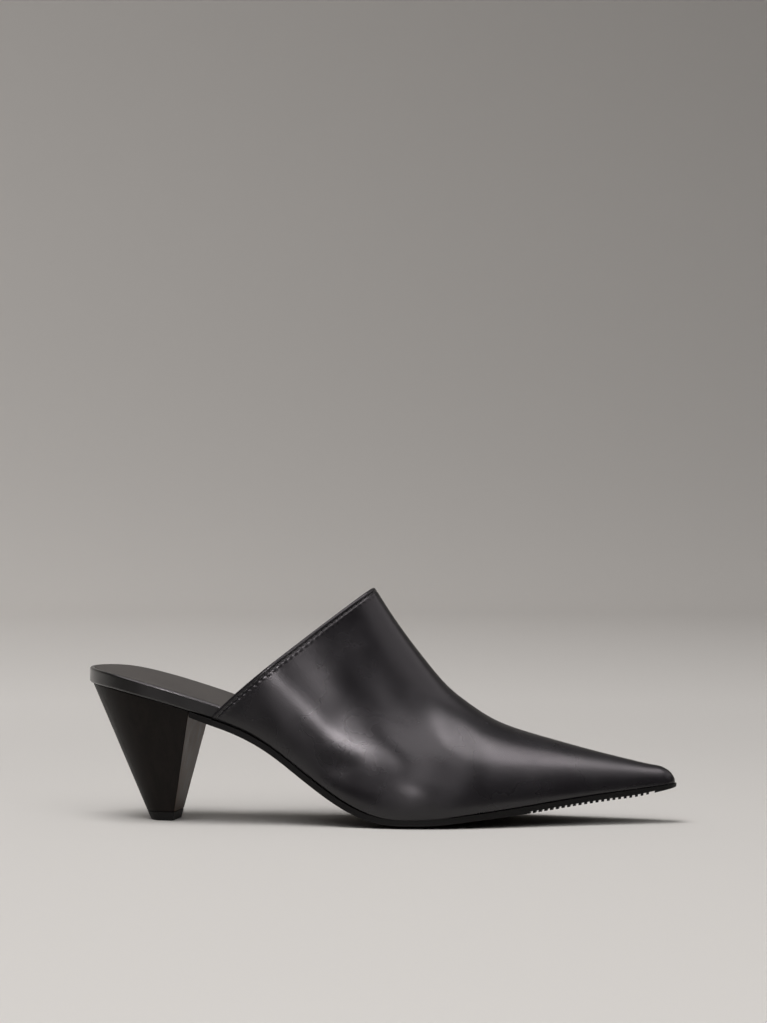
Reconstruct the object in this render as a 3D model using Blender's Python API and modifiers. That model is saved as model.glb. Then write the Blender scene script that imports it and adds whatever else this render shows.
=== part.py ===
"""Heeled mule for the right foot: a pointed leather upper on a ribbed sole and a tapering heel.

Lengths are in metres. While the pieces are modelled, x runs forward from the back of the seat,
+y is the inner side of the foot, and z is the height above the floor. An empty then carries them
all so that the middle of the shoe's footprint is the origin.
"""
import bisect
import math

import bmesh
import bpy
from mathutils import Vector

# The last
LENGTH = 0.2657
BALL_WIDTH = 0.0730
SEAT_WIDTH = 0.0565
TOE_POINT_WIDTH = 0.0064
HEEL_RISE = 0.0576
TOE_SPRING = 0.0134
INNER_LIFT = 0.0024
INSTEP_HEIGHT = 0.0987
BALL_HEIGHT = 0.0480
TOE_HEIGHT = 0.0097
SIDE_BULGE = 0.0025

# The upper
WALL = 0.0020
COLLAR_BOW = 0.0030

# The sole, the board and the sock
SOLE_EDGE = 0.0027
SOLE_CROWN = 0.0013
SOLE_MARGIN = 0.0006
RIB_PITCH = 0.0025
RIB_GROOVE = 0.0012
RIB_SLOPE = 0.00015
RIB_DEPTH = 0.0009
RIBBED_LENGTH = 0.0580
PLAIN_TIP = 0.0060
BOARD_BAND = 0.0063
BOARD_INSIDE = 0.0025
BOARD_RIM = 0.0020
RIM_RADIUS = 0.0009
SEAT_CUP = 0.0008
SOCK = 0.0012

# The heel
BREAST = 0.0512
HEEL_SETBACK = 0.0014
HEEL_FOOT_BACK = 0.0284
HEEL_FOOT_LENGTH = 0.0117
HEEL_FOOT_WIDTH = 0.0175
HEEL_TOE_OUT = math.radians(4.5)
TOP_PIECE = 0.0040

# What keeps the pieces apart, and what welds the corners of one piece
GAP = 0.0003
WELD = 0.000002

# How far the upper and the sole stand out from the board's edge, and the board's own length
UPPER_REACH = GAP + WALL
SOLE_REACH = UPPER_REACH + SOLE_MARGIN
BOARD_LENGTH = LENGTH - SOLE_REACH

# Sides of the foot, and places along the board as shares of its length: where the collar starts,
# and where the ribs of the upper begin to turn about the nose
OUTER, INNER = -1, 1
COLLAR = 0.226
NOSE = 0.968

SIZES = {
    "seat": SEAT_WIDTH,
    "ball": BALL_WIDTH,
    "point": TOE_POINT_WIDTH,
    "heel": HEEL_RISE,
    "spring": TOE_SPRING,
    "lift": INNER_LIFT,
    "edge": SOLE_EDGE,
    "band": BOARD_BAND,
    "inside": BOARD_INSIDE,
    "instep": INSTEP_HEIGHT,
    "tread": BALL_HEIGHT,
    "toe": TOE_HEIGHT,
}

# In each table "along" is a share of the board's length, and the other numbers are shares of the
# size that the row names, or of the one size that the table's comment names.

# Plan outline of the board, where centre is a share of the ball width toward the inner side
OUTLINE = (
    ("along", "half_width", "follows", "centre"),
    (0.000, 0.500, "seat", 0.030),
    (0.115, 0.500, "seat", 0.008),
    (0.190, 0.475, "seat", -0.010),
    (0.229, 0.448, "seat", -0.021),
    (0.305, 0.327, "ball", -0.041),
    (0.381, 0.348, "ball", -0.053),
    (0.457, 0.407, "ball", -0.050),
    (0.534, 0.475, "ball", -0.030),
    (0.580, 0.497, "ball", -0.014),
    (0.629, 0.496, "ball", 0.003),
    (0.686, 0.452, "ball", 0.020),
    (0.762, 0.356, "ball", 0.034),
    (0.839, 0.253, "ball", 0.041),
    (0.915, 0.154, "ball", 0.044),
    (0.972, 0.080, "ball", 0.043),
    (1.000, 0.500, "point", 0.042),
)

# Height of the sole's upper face above its lowest stretch, on the outer side
BED = (
    ("along", "rise", "follows"),
    (0.000, 1.000, "heel"),
    (0.038, 0.983, "heel"),
    (0.114, 0.905, "heel"),
    (0.191, 0.800, "heel"),
    (0.267, 0.684, "heel"),
    (0.305, 0.601, "heel"),
    (0.343, 0.490, "heel"),
    (0.381, 0.356, "heel"),
    (0.419, 0.226, "heel"),
    (0.457, 0.115, "heel"),
    (0.496, 0.036, "heel"),
    (0.536, 0.000, "heel"),
    (0.590, 0.000, "spring"),
    (0.667, 0.140, "spring"),
    (0.762, 0.385, "spring"),
    (0.858, 0.660, "spring"),
    (0.953, 0.880, "spring"),
    (1.000, 1.000, "spring"),
)

# How much higher the inner side lies, thickness of the sole's edge, and thickness of the board
TILT = (
    ("along", "lift"),
    (0.00, 0.60),
    (0.06, 0.85),
    (0.15, 1.00),
    (0.23, 1.15),
    (0.35, 0.80),
    (0.46, 0.35),
    (0.53, 0.00),
    (1.00, 0.00),
)
EDGE = (
    ("along", "thickness", "crown"),
    (0.00, 0.90, 0.30),
    (0.19, 0.90, 0.30),
    (0.30, 1.00, 0.90),
    (0.53, 1.00, 1.00),
    (0.66, 1.00, 1.00),
    (0.80, 1.18, 0.80),
    (0.94, 1.18, 0.40),
    (1.00, 0.70, 0.00),
)
BOARD = (
    ("along", "thickness", "follows"),
    (0.00, 1.06, "band"),
    (0.10, 1.00, "band"),
    (0.25, 1.00, "band"),
    (0.40, 1.00, "inside"),
    (1.00, 0.90, "inside"),
)

# Ribs of the last from the sole's edge to the ridge, one row for each foot of a rib.
# crest_along, crest_height and crest_across place its top, shoulder and round shape its curve,
# bulge is a share of the side bulge, bow of the collar's bow, and wrap turns it about the nose.
RIBS = (
    ("along", "crest_along", "crest_height", "follows",
     "crest_across", "shoulder", "round", "bulge", "bow", "wrap"),
    (COLLAR, 0.4930, 1.000, "instep", 0.036, 2.20, 2.10, 0.40, 1.00, 0.0),
    (0.274, 0.5010, 0.975, "instep", 0.037, 2.10, 2.05, 0.60, 0.75, 0.0),
    (0.328, 0.5150, 0.926, "instep", 0.038, 2.00, 2.00, 0.80, 0.50, 0.0),
    (0.385, 0.5340, 0.859, "instep", 0.039, 1.85, 1.95, 0.90, 0.25, 0.0),
    (0.442, 0.5585, 0.771, "instep", 0.040, 1.70, 1.90, 1.00, 0.10, 0.0),
    (0.499, 0.5890, 0.668, "instep", 0.041, 1.55, 1.85, 1.00, 0.00, 0.0),
    (0.557, 0.6215, 1.156, "tread", 0.041, 1.48, 1.82, 1.00, 0.00, 0.0),
    (0.610, 0.6560, 0.990, "tread", 0.042, 1.47, 1.80, 0.90, 0.00, 0.0),
    (0.667, 0.6960, 0.819, "tread", 0.042, 1.52, 1.85, 0.80, 0.00, 0.0),
    (0.724, 0.7380, 0.696, "tread", 0.042, 1.60, 1.92, 0.60, 0.00, 0.0),
    (0.785, 0.7930, 0.567, "tread", 0.042, 1.70, 2.00, 0.40, 0.00, 0.0),
    (0.846, 0.8480, 2.165, "toe", 0.042, 1.80, 2.10, 0.20, 0.00, 0.3),
    (0.904, 0.9015, 1.620, "toe", 0.042, 1.90, 2.20, 0.10, 0.00, 0.7),
    (0.945, 0.9400, 1.260, "toe", 0.042, 1.95, 2.20, 0.05, 0.00, 1.0),
    (NOSE, 0.9660, 1.000, "toe", 0.042, 2.00, 2.15, 0.00, 0.00, 1.0),
    (1.000, 0.9660, 1.000, "toe", 0.042, 2.00, 2.00, 0.00, 0.00, 1.0),
)

# Share of the sole's half width over which the tread is level, and places of the columns of points
# across a layer, from the outer edge to the inner one
TREAD_FLAT = 0.5
TREAD_COLUMNS = (0.0, 0.12, 0.275, 0.725, 0.88, 1.0)
CUP_COLUMNS = (0.0, 0.22, 0.5, 0.78, 1.0)
EDGES_ONLY = (0.0, 1.0)

# How finely each piece is divided
BOARD_STATIONS = 44
SOLE_STATIONS = 22
UPPER_ROWS = 24
NOSE_ROWS = 6
RIB_POINTS = 10
HEEL_ARC_POINTS = 10
HEEL_SIDE_POINTS = 3
RIM_ARC_POINTS = 3
BREAST_TRIES = 4
TIP_TURNS = (0.45, 0.75, 0.93, 1.0)
SHARP = math.radians(35)


# Reading the tables

def column(table, name):
    """Lists one column of a table, as lengths where its rows name the size they follow."""
    place = table[0].index(name)
    values = [row[place] for row in table[1:]]
    sized = "follows" in table[0] and name == table[0][table[0].index("follows") - 1]
    if not sized:
        return values
    names = [row[table[0].index("follows")] for row in table[1:]]
    return [value * SIZES[size] for value, size in zip(values, names)]


def smooth(table, name, unit=1.0):
    """Returns a function that runs smoothly through a column and never swings past its rows."""
    places = column(table, "along")
    values = [value * unit for value in column(table, name)]
    steps = [after - before for before, after in zip(places, places[1:])]
    slopes = [(after - before) / step for before, after, step in zip(values, values[1:], steps)]
    tangents = [slopes[0]]
    for before, after in zip(slopes, slopes[1:]):
        tangents.append(2 * before * after / (before + after) if before * after > 0 else 0.0)
    tangents.append(slopes[-1])

    def read(along):
        along = min(max(along, places[0]), places[-1])
        row = min(bisect.bisect_right(places, along), len(places) - 1) - 1
        part = (along - places[row]) / steps[row]
        back = 1 - part
        value = values[row] * (1 + 2 * part) * back ** 2 + values[row + 1] * part ** 2 * (3 - 2 * part)
        return value + steps[row] * part * back * (tangents[row] * back - tangents[row + 1] * part)

    return read


half_width = smooth(OUTLINE, "half_width")
centre = smooth(OUTLINE, "centre", BALL_WIDTH)
bed_rise = smooth(BED, "rise")
inner_lift = smooth(TILT, "lift", INNER_LIFT)
edge_thickness = smooth(EDGE, "thickness", SOLE_EDGE)
crown_share = smooth(EDGE, "crown")
board_thickness = smooth(BOARD, "thickness")
rib_tables = {name: smooth(RIBS, name) for name in RIBS[0] if name not in ("along", "follows")}


# The last's outline and bed

def rounded(distance, radius):
    """Share of the half width that a round end leaves at a distance from its tip."""
    if distance >= radius:
        return 1.0
    return math.sqrt(max(0.0, 1 - (1 - distance / radius) ** 2))


def outline_y(along, side):
    """Across position of the board's edge."""
    ends = rounded(along * BOARD_LENGTH, SEAT_WIDTH / 2)
    ends *= rounded((1 - along) * BOARD_LENGTH, TOE_POINT_WIDTH / 2)
    return centre(along) + side * half_width(along) * ends


def outline_normal(along, side):
    """Direction that leads straight out of the board's edge, in plan."""
    nudge = 0.00002
    if along < nudge:
        return Vector((-1, 0))
    if along > 1 - nudge:
        return Vector((1, 0))
    change = outline_y(along + nudge, side) - outline_y(along - nudge, side)
    slope = change / (2 * nudge * BOARD_LENGTH)
    return Vector((-side * slope, side)).normalized()


def edge_point(along, side, reach):
    """Plan point at a distance outside the board's edge, or inside it where reach is negative."""
    edge = Vector((along * BOARD_LENGTH, outline_y(along, side)))
    return edge + outline_normal(along, side) * reach


def across(x, y):
    """Place between the outer edge, at -1, and the inner edge, at 1."""
    along = x / BOARD_LENGTH
    return (y - centre(along)) / half_width(along)


def bed(x, y):
    """Height of the face on which board and upper stand: straight across, tilted to the inner side."""
    along = x / BOARD_LENGTH
    return SOLE_EDGE + SOLE_CROWN + bed_rise(along) + inner_lift(along) * (across(x, y) + 1) / 2


def steepness(x):
    """How much longer the bed is than its plan length at x, from its slope."""
    nudge = 0.001
    slope = (bed_rise((x + nudge) / BOARD_LENGTH) - bed_rise((x - nudge) / BOARD_LENGTH)) / (2 * nudge)
    return math.hypot(1, slope)


def board_top(x, y):
    """Height of the board's rim."""
    return bed(x, y) + GAP + board_thickness(x / BOARD_LENGTH) * steepness(x)


def recess_floor(x, y):
    """Height of the shallow recess that the sock lies in, with its cup at the seat."""
    from_back = rounded(max(0.0, x), SEAT_WIDTH / 2) ** 2
    cup = SEAT_CUP * max(0.0, 1 - across(x, y) ** 2) * from_back
    return board_top(x, y) - SOCK - cup


def board_stations():
    """Places along the board, as shares of its length, that crowd together at both round ends."""
    return [(1 - math.cos(math.pi * step / BOARD_STATIONS)) / 2 for step in range(BOARD_STATIONS + 1)]


# Making meshes and objects

def make_object(name, mesh_data, colour, roughness, collection, carrier):
    """Gives a mesh its object, its own material, its shading and its place in the assembly."""
    mesh = bpy.data.meshes.new(name)
    bmesh.ops.remove_doubles(mesh_data, verts=mesh_data.verts, dist=WELD)
    bmesh.ops.dissolve_degenerate(mesh_data, edges=mesh_data.edges, dist=WELD)
    bmesh.ops.recalc_face_normals(mesh_data, faces=mesh_data.faces)
    mesh_data.to_mesh(mesh)
    mesh_data.free()
    mesh.shade_smooth()
    mesh.set_sharp_from_angle(angle=SHARP)
    material = bpy.data.materials.new(name)
    material.use_nodes = True
    surface = material.node_tree.nodes["Principled BSDF"]
    surface.inputs["Base Color"].default_value = (*colour, 1)
    surface.inputs["Roughness"].default_value = roughness
    surface.inputs["Metallic"].default_value = 0.0
    mesh.materials.append(material)
    thing = bpy.data.objects.new(name, mesh)
    thing.parent = carrier
    collection.objects.link(thing)
    return thing


def skin(sections, cap_first, cap_last):
    """Skins a row of closed sections, each a list of as many points."""
    mesh_data = bmesh.new()
    rows = [[mesh_data.verts.new(point) for point in section] for section in sections]
    for row, following in zip(rows, rows[1:]):
        for place in range(len(row)):
            after = (place + 1) % len(row)
            mesh_data.faces.new((row[place], row[after], following[after], following[place]))
    if cap_first:
        mesh_data.faces.new(reversed(rows[0]))
    if cap_last:
        mesh_data.faces.new(rows[-1])
    return mesh_data


def layer_section(outer_along, inner_along, rings, low, high, low_columns, high_columns):
    """Closed section of a layer: its under face, inner edge, upper face and outer edge in turn.

    rings runs up the edge as (reach, height function) pairs. low and high give the two faces.
    """
    def edge(side, along, ring):
        reach, height = ring
        place = edge_point(along, side, reach)
        return Vector((place.x, place.y, height(place.x, place.y)))

    def face(ring, height, columns):
        start = edge_point(outer_along, OUTER, ring[0])
        end = edge_point(inner_along, INNER, ring[0])
        places = [start.lerp(end, share) for share in columns]
        return [Vector((place.x, place.y, height(place.x, place.y))) for place in places]

    under = face(rings[0], low, low_columns)
    inner_edge = [edge(INNER, inner_along, ring) for ring in rings[1:-1]]
    upper_face = face(rings[-1], high, tuple(reversed(high_columns)))
    outer_edge = [edge(OUTER, outer_along, ring) for ring in reversed(rings[1:-1])]
    return under + inner_edge + upper_face + outer_edge


# The board and the sock

def board_mesh():
    """Leather-wrapped board: a band with a rounded rim at the seat, thinner inside the upper."""
    def above_bed(rise):
        return lambda x, y: bed(x, y) + GAP + rise

    def below_top(drop):
        return lambda x, y: board_top(x, y) - drop

    rings = [(-RIM_RADIUS / 2, above_bed(0.0)), (0.0, above_bed(RIM_RADIUS / 2))]
    for step in range(RIM_ARC_POINTS + 1):
        angle = math.pi / 2 * step / RIM_ARC_POINTS
        inset = RIM_RADIUS * (1 - math.cos(angle))
        rings.append((-inset, below_top(RIM_RADIUS * (1 - math.sin(angle)))))
    rings.append((-BOARD_RIM, below_top(0.0)))
    rings.append((-BOARD_RIM, recess_floor))
    sections = []
    for along in board_stations():
        faces = (rings[0][1], recess_floor, EDGES_ONLY, CUP_COLUMNS)
        sections.append(layer_section(along, along, rings, *faces))
    return skin(sections, False, False)


def sock_mesh():
    """Thin leather sock in the board's recess, its top level with the rim."""
    def low(x, y):
        return recess_floor(x, y) + GAP

    def high(x, y):
        return recess_floor(x, y) + GAP + SOCK

    rings = [(-BOARD_RIM - GAP, low), (-BOARD_RIM - GAP, high)]
    sections = []
    for along in board_stations():
        sections.append(layer_section(along, along, rings, low, high, CUP_COLUMNS, CUP_COLUMNS))
    return skin(sections, False, False)


# The outsole

def breast_x(y):
    """Where the heel's flat front stands at an across position: it faces a little outward."""
    return BREAST + math.tan(HEEL_TOE_OUT) * y


def breast_station(side, reach, clearance):
    """Share along the board at which a line beside its edge meets the breast, or clears it."""
    along = BREAST / BOARD_LENGTH
    for _ in range(BREAST_TRIES):
        place = edge_point(along, side, reach)
        along = (breast_x(place.y) + clearance) / BOARD_LENGTH
    return along


def crown(x, y):
    """How far the tread bellies below the sole's edge: level in the middle, none at the edge."""
    beyond = min(1.0, max(0.0, (abs(across(x, y)) - TREAD_FLAT) / (1 - TREAD_FLAT)))
    return SOLE_CROWN * crown_share(x / BOARD_LENGTH) * (1 - beyond ** 2)


def sole_stations():
    """Lists (outer share, inner share, groove depth), with four stations to each groove."""
    ribs_start = BOARD_LENGTH - PLAIN_TIP - RIBBED_LENGTH
    start = COLLAR * BOARD_LENGTH
    groove = ((0.0, 0.0), (RIB_SLOPE, RIB_DEPTH), (RIB_GROOVE - RIB_SLOPE, RIB_DEPTH), (RIB_GROOVE, 0.0))
    places = [(start + (ribs_start - start) * step / SOLE_STATIONS, 0.0) for step in range(SOLE_STATIONS)]
    for rib in range(int(RIBBED_LENGTH / RIB_PITCH)):
        places += [(ribs_start + rib * RIB_PITCH + offset, depth) for offset, depth in groove]
    last = places[-1][0]
    places += [(last + (BOARD_LENGTH - last) * turn, 0.0) for turn in TIP_TURNS]
    back_end = (breast_station(OUTER, 0.0, GAP), breast_station(INNER, 0.0, GAP), 0.0)
    return [back_end] + [(x / BOARD_LENGTH, x / BOARD_LENGTH, depth) for x, depth in places]


def outsole_mesh():
    """Thin sole from the heel's breast to the toe, ribbed across under the toe."""
    sections = []
    for outer_along, inner_along, depth in sole_stations():
        def tread(x, y, depth=depth):
            thickness = edge_thickness(x / BOARD_LENGTH) * steepness(x)
            return bed(x, y) - thickness - crown(x, y) + depth

        reach = SOLE_REACH if outer_along >= COLLAR else 0.0
        rings = [(reach, tread), (reach, bed)]
        faces = (tread, bed, TREAD_COLUMNS, EDGES_ONLY)
        sections.append(layer_section(outer_along, inner_along, rings, *faces))
    return skin(sections, True, False)


# The upper

def swell(share):
    """Bulge of a rib between its foot and its top, fullest at a quarter of its height."""
    return math.sin(math.pi * share ** 0.5)


def bow(share):
    """Backward curve of the collar between the foot and the top of its first rib."""
    return math.sin(math.pi * share ** 0.6)


def rib_points(along, side):
    """One rib of the last's surface, from the sole's edge up to the ridge."""
    row = {name: read(along) for name, read in rib_tables.items()}
    foot = edge_point(along, side, UPPER_REACH)
    outward = outline_normal(along, side)
    foot_height = bed(foot.x, foot.y) + GAP
    crest_x = row["crest_along"] * BOARD_LENGTH
    crest_y = row["crest_across"] * BALL_WIDTH
    crest_height = bed(crest_x, crest_y) + row["crest_height"]
    points = []
    for step in range(RIB_POINTS + 1):
        angle = math.pi / 2 * step / RIB_POINTS
        rise = math.sin(angle) ** (2 / row["shoulder"])
        reach = max(0.0, math.cos(angle)) ** (2 / row["round"])
        ahead = (1 - rise) * (1 - row["wrap"]) + reach * row["wrap"]
        bulge = outward * SIDE_BULGE * row["bulge"] * swell(rise)
        x = crest_x + (foot.x - crest_x) * ahead + bulge.x - COLLAR_BOW * row["bow"] * bow(rise)
        y = crest_y + (foot.y - crest_y) * reach + bulge.y
        points.append(Vector((x, y, foot_height + (crest_height - foot_height) * rise)))
    return points


def upper_mesh():
    """Outer surface of the upper: ribs fan from the slanting collar to the upright toe and its nose."""
    rows = [COLLAR + (NOSE - COLLAR) * step / UPPER_ROWS for step in range(UPPER_ROWS)]
    turns = [math.sin(math.pi / 2 * step / NOSE_ROWS) for step in range(NOSE_ROWS + 1)]
    rows += [NOSE + (1 - NOSE) * turn for turn in turns]
    mesh_data = bmesh.new()
    for side in (OUTER, INNER):
        ribs = [[mesh_data.verts.new(point) for point in rib_points(along, side)] for along in rows]
        for rib, following in zip(ribs, ribs[1:]):
            for place in range(RIB_POINTS):
                corners = (rib[place], rib[place + 1], following[place + 1], following[place])
                mesh_data.faces.new(corners if side == INNER else reversed(corners))
    return mesh_data


# The heel

def heel_loop(height_at):
    """Outline of the heel where each of its corner lines reaches a height, from breast to breast."""
    radius = HEEL_FOOT_WIDTH / 2
    foot_centre = centre(BREAST / BOARD_LENGTH)
    straight = [step / HEEL_SIDE_POINTS for step in range(HEEL_SIDE_POINTS)]
    arc = [math.pi / 2 * (1 - step / HEEL_ARC_POINTS) for step in range(HEEL_ARC_POINTS + 1)]

    def corner_line(side, share, angle):
        back = SEAT_WIDTH / 2 * (1 - math.sin(angle)) / BOARD_LENGTH
        along = back + (breast_station(side, -HEEL_SETBACK, 0.0) - back) * share
        head = edge_point(along, side, -HEEL_SETBACK)
        head = Vector((head.x, head.y, bed(head.x, head.y)))
        foot = Vector((HEEL_FOOT_BACK, foot_centre, 0.0))
        foot += Vector((radius * (1 - math.sin(angle)), side * radius * math.cos(angle), 0.0))
        if share > 0:
            foot.x += (HEEL_FOOT_BACK + HEEL_FOOT_LENGTH - foot.x) * share
        foot.x += math.tan(HEEL_TOE_OUT) * (foot.y - foot_centre) * share
        return foot.lerp(head, height_at(head) / head.z)

    points = []
    for side in (OUTER, INNER):
        half = [corner_line(side, 1 - share, 0.0) for share in straight]
        half += [corner_line(side, 0.0, math.pi / 2 - angle) for angle in arc]
        points += half if side == OUTER else list(reversed(half))[1:]
    return points


def heel_mesh():
    """Tapering heel with a round back and a flat front."""
    levels = (lambda head: TOP_PIECE + GAP, lambda head: head.z / 2, lambda head: head.z)
    return skin([heel_loop(level) for level in levels], True, True)


def top_piece_mesh():
    """Wearing tip that carries on the heel's taper down to the floor."""
    levels = (lambda head: 0.0, lambda head: TOP_PIECE)
    return skin([heel_loop(level) for level in levels], True, True)


# The assembly

def clear_scene():
    for thing in list(bpy.data.objects):
        bpy.data.objects.remove(thing, do_unlink=True)


def centre_on_floor(carrier, pieces):
    """Moves the carrier so that the shoe's footprint is centred on the origin."""
    bpy.context.view_layer.update()
    graph = bpy.context.evaluated_depsgraph_get()
    corners = []
    for piece in pieces:
        mesh = piece.evaluated_get(graph).data
        corners += [piece.matrix_world @ vertex.co for vertex in mesh.vertices]
    middle = [(min(c[axis] for c in corners) + max(c[axis] for c in corners)) / 2 for axis in (0, 1)]
    carrier.location = (-middle[0], -middle[1], -min(c.z for c in corners))


def build():
    clear_scene()
    collection = bpy.data.collections.new("heeled_mule")
    bpy.context.scene.collection.children.link(collection)
    carrier = bpy.data.objects.new("shoe_frame", None)
    collection.objects.link(carrier)

    upper = make_object("upper", upper_mesh(), (0.017, 0.015, 0.018), 0.38, collection, carrier)
    shell = upper.modifiers.new("wall", "SOLIDIFY")
    shell.thickness = WALL
    shell.offset = -1
    shell.use_even_offset = True

    pieces = [
        upper,
        make_object("outsole", outsole_mesh(), (0.008, 0.008, 0.008), 0.55, collection, carrier),
        make_object("insole_board", board_mesh(), (0.012, 0.010, 0.011), 0.42, collection, carrier),
        make_object("sock_lining", sock_mesh(), (0.070, 0.060, 0.055), 0.60, collection, carrier),
        make_object("heel", heel_mesh(), (0.010, 0.008, 0.007), 0.55, collection, carrier),
        make_object("top_piece", top_piece_mesh(), (0.008, 0.008, 0.008), 0.60, collection, carrier),
    ]
    centre_on_floor(carrier, pieces)


build()
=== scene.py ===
"""Heeled mule for the right foot: its leather, lining, stitches, ribbed sole and stained heel.

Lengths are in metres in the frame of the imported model: x runs to the toe, +y is the inner side of
the foot and the floor is at z = 0. The last is worked out from its sizes with x from the back of
the seat, and every piece is then set back by the frame's own offset.
"""
import math

import bmesh
import bpy
import numpy as np
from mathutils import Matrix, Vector


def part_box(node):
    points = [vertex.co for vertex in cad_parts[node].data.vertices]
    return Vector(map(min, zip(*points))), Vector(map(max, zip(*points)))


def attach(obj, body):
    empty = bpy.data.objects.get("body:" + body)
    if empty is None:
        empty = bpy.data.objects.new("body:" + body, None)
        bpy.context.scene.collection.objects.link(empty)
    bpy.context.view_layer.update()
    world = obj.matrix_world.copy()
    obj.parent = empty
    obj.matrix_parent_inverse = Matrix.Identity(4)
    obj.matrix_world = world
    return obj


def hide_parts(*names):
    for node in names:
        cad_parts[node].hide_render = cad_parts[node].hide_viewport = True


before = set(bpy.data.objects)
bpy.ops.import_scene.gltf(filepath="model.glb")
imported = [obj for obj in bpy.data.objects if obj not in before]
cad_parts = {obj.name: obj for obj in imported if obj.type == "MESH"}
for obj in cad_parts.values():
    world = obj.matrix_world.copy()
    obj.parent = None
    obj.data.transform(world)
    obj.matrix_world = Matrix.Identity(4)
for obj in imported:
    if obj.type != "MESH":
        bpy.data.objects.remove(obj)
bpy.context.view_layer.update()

# The last
LENGTH = 0.2657
BALL_WIDTH = 0.0730
SEAT_WIDTH = 0.0565
TOE_POINT_WIDTH = 0.0064
HEEL_RISE = 0.0576
TOE_SPRING = 0.0134
INNER_LIFT = 0.0024
INSTEP_HEIGHT = 0.0987
BALL_HEIGHT = 0.0480
TOE_HEIGHT = 0.0097
SIDE_BULGE = 0.0025

# The upper, its stitched topline and the pieces' own edges
WALL = 0.0020
COLLAR_BOW = 0.0030
STITCH_INSET = 0.0020
STITCH_PITCH = 0.0030
STITCH_LENGTH = 0.0023
THREAD_WIDTH = 0.00045
STITCH_GROOVE = 0.00022
GROOVE_WIDTH = 0.00045
FOLD_TURN_IN = 0.0014

# The sole, the board and the sock
SOLE_EDGE = 0.0027
SOLE_CROWN = 0.0013
SOLE_MARGIN = 0.0006
RIB_PITCH = 0.0025
RIB_GROOVE = 0.0012
RIB_DEPTH = 0.0009
RIBBED_LENGTH = 0.0580
PLAIN_TIP = 0.0060
SOLE_ROUNDING = 0.00022
BOARD_BAND = 0.0063
BOARD_INSIDE = 0.0025
BOARD_RIM = 0.0020
RIM_RADIUS = 0.0009
RIM_SHOULDER = 1.2
SEAT_CUP = 0.0008
SOCK = 0.0012
SOCK_ROUNDING = 0.0003

# The heel
BREAST = 0.0512
HEEL_SETBACK = 0.0014
HEEL_FOOT_BACK = 0.0284
HEEL_FOOT_LENGTH = 0.0117
HEEL_FOOT_WIDTH = 0.0175
HEEL_TOE_OUT = math.radians(4.5)
HEEL_ROUNDING = 0.0005
TIP_ROUNDING = 0.0007
TIGHT_JOINT = 0.12
TOP_PIECE = 0.0040

MILLIMETRE = 0.001
GAP = 0.0003
WELD = 0.000002
SLIVER = 1e-9

UPPER_REACH = GAP + WALL
SOLE_REACH = UPPER_REACH + SOLE_MARGIN
BOARD_LENGTH = LENGTH - SOLE_REACH

OUTER, INNER = -1, 1
COLLAR = 0.226
NOSE = 0.968

SIZES = {
    "seat": SEAT_WIDTH,
    "ball": BALL_WIDTH,
    "point": TOE_POINT_WIDTH,
    "heel": HEEL_RISE,
    "spring": TOE_SPRING,
    "band": BOARD_BAND,
    "inside": BOARD_INSIDE,
    "instep": INSTEP_HEIGHT,
    "tread": BALL_HEIGHT,
    "toe": TOE_HEIGHT,
}

# In each table "along" is a share of the board's length, and the other numbers are shares of the
# size that the row names, or of the one size that the table's comment names.

# Plan outline of the board, where centre is a share of the ball width toward the inner side
OUTLINE = (
    ("along", "half_width", "follows", "centre"),
    (0.000, 0.500, "seat", 0.030),
    (0.115, 0.500, "seat", 0.008),
    (0.190, 0.475, "seat", -0.010),
    (0.229, 0.448, "seat", -0.021),
    (0.305, 0.327, "ball", -0.041),
    (0.381, 0.348, "ball", -0.053),
    (0.457, 0.407, "ball", -0.050),
    (0.534, 0.475, "ball", -0.030),
    (0.580, 0.497, "ball", -0.014),
    (0.629, 0.496, "ball", 0.003),
    (0.686, 0.452, "ball", 0.020),
    (0.762, 0.356, "ball", 0.034),
    (0.839, 0.253, "ball", 0.041),
    (0.915, 0.154, "ball", 0.044),
    (0.972, 0.080, "ball", 0.043),
    (1.000, 0.500, "point", 0.042),
)

# Height of the sole's upper face above its lowest stretch, on the outer side
BED = (
    ("along", "rise", "follows"),
    (0.000, 1.000, "heel"),
    (0.038, 0.983, "heel"),
    (0.114, 0.905, "heel"),
    (0.191, 0.800, "heel"),
    (0.267, 0.684, "heel"),
    (0.305, 0.601, "heel"),
    (0.343, 0.490, "heel"),
    (0.381, 0.356, "heel"),
    (0.419, 0.226, "heel"),
    (0.457, 0.115, "heel"),
    (0.496, 0.036, "heel"),
    (0.536, 0.000, "heel"),
    (0.590, 0.000, "spring"),
    (0.667, 0.140, "spring"),
    (0.762, 0.385, "spring"),
    (0.858, 0.660, "spring"),
    (0.953, 0.880, "spring"),
    (1.000, 1.000, "spring"),
)

# How much higher the inner side lies, thickness of the sole's edge, and thickness of the board
TILT = (
    ("along", "lift"),
    (0.00, 0.60),
    (0.06, 0.85),
    (0.15, 1.00),
    (0.23, 1.15),
    (0.35, 0.80),
    (0.46, 0.35),
    (0.53, 0.00),
    (1.00, 0.00),
)
EDGE = (
    ("along", "thickness", "crown"),
    (0.00, 0.90, 0.30),
    (0.19, 0.90, 0.30),
    (0.30, 1.00, 0.90),
    (0.53, 1.00, 1.00),
    (0.66, 1.00, 1.00),
    (0.80, 1.18, 0.80),
    (0.94, 1.18, 0.40),
    (1.00, 0.70, 0.00),
)
BOARD = (
    ("along", "thickness", "follows"),
    (0.00, 1.06, "band"),
    (0.10, 1.00, "band"),
    (0.25, 1.00, "band"),
    (0.40, 1.00, "inside"),
    (1.00, 0.90, "inside"),
)

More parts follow.
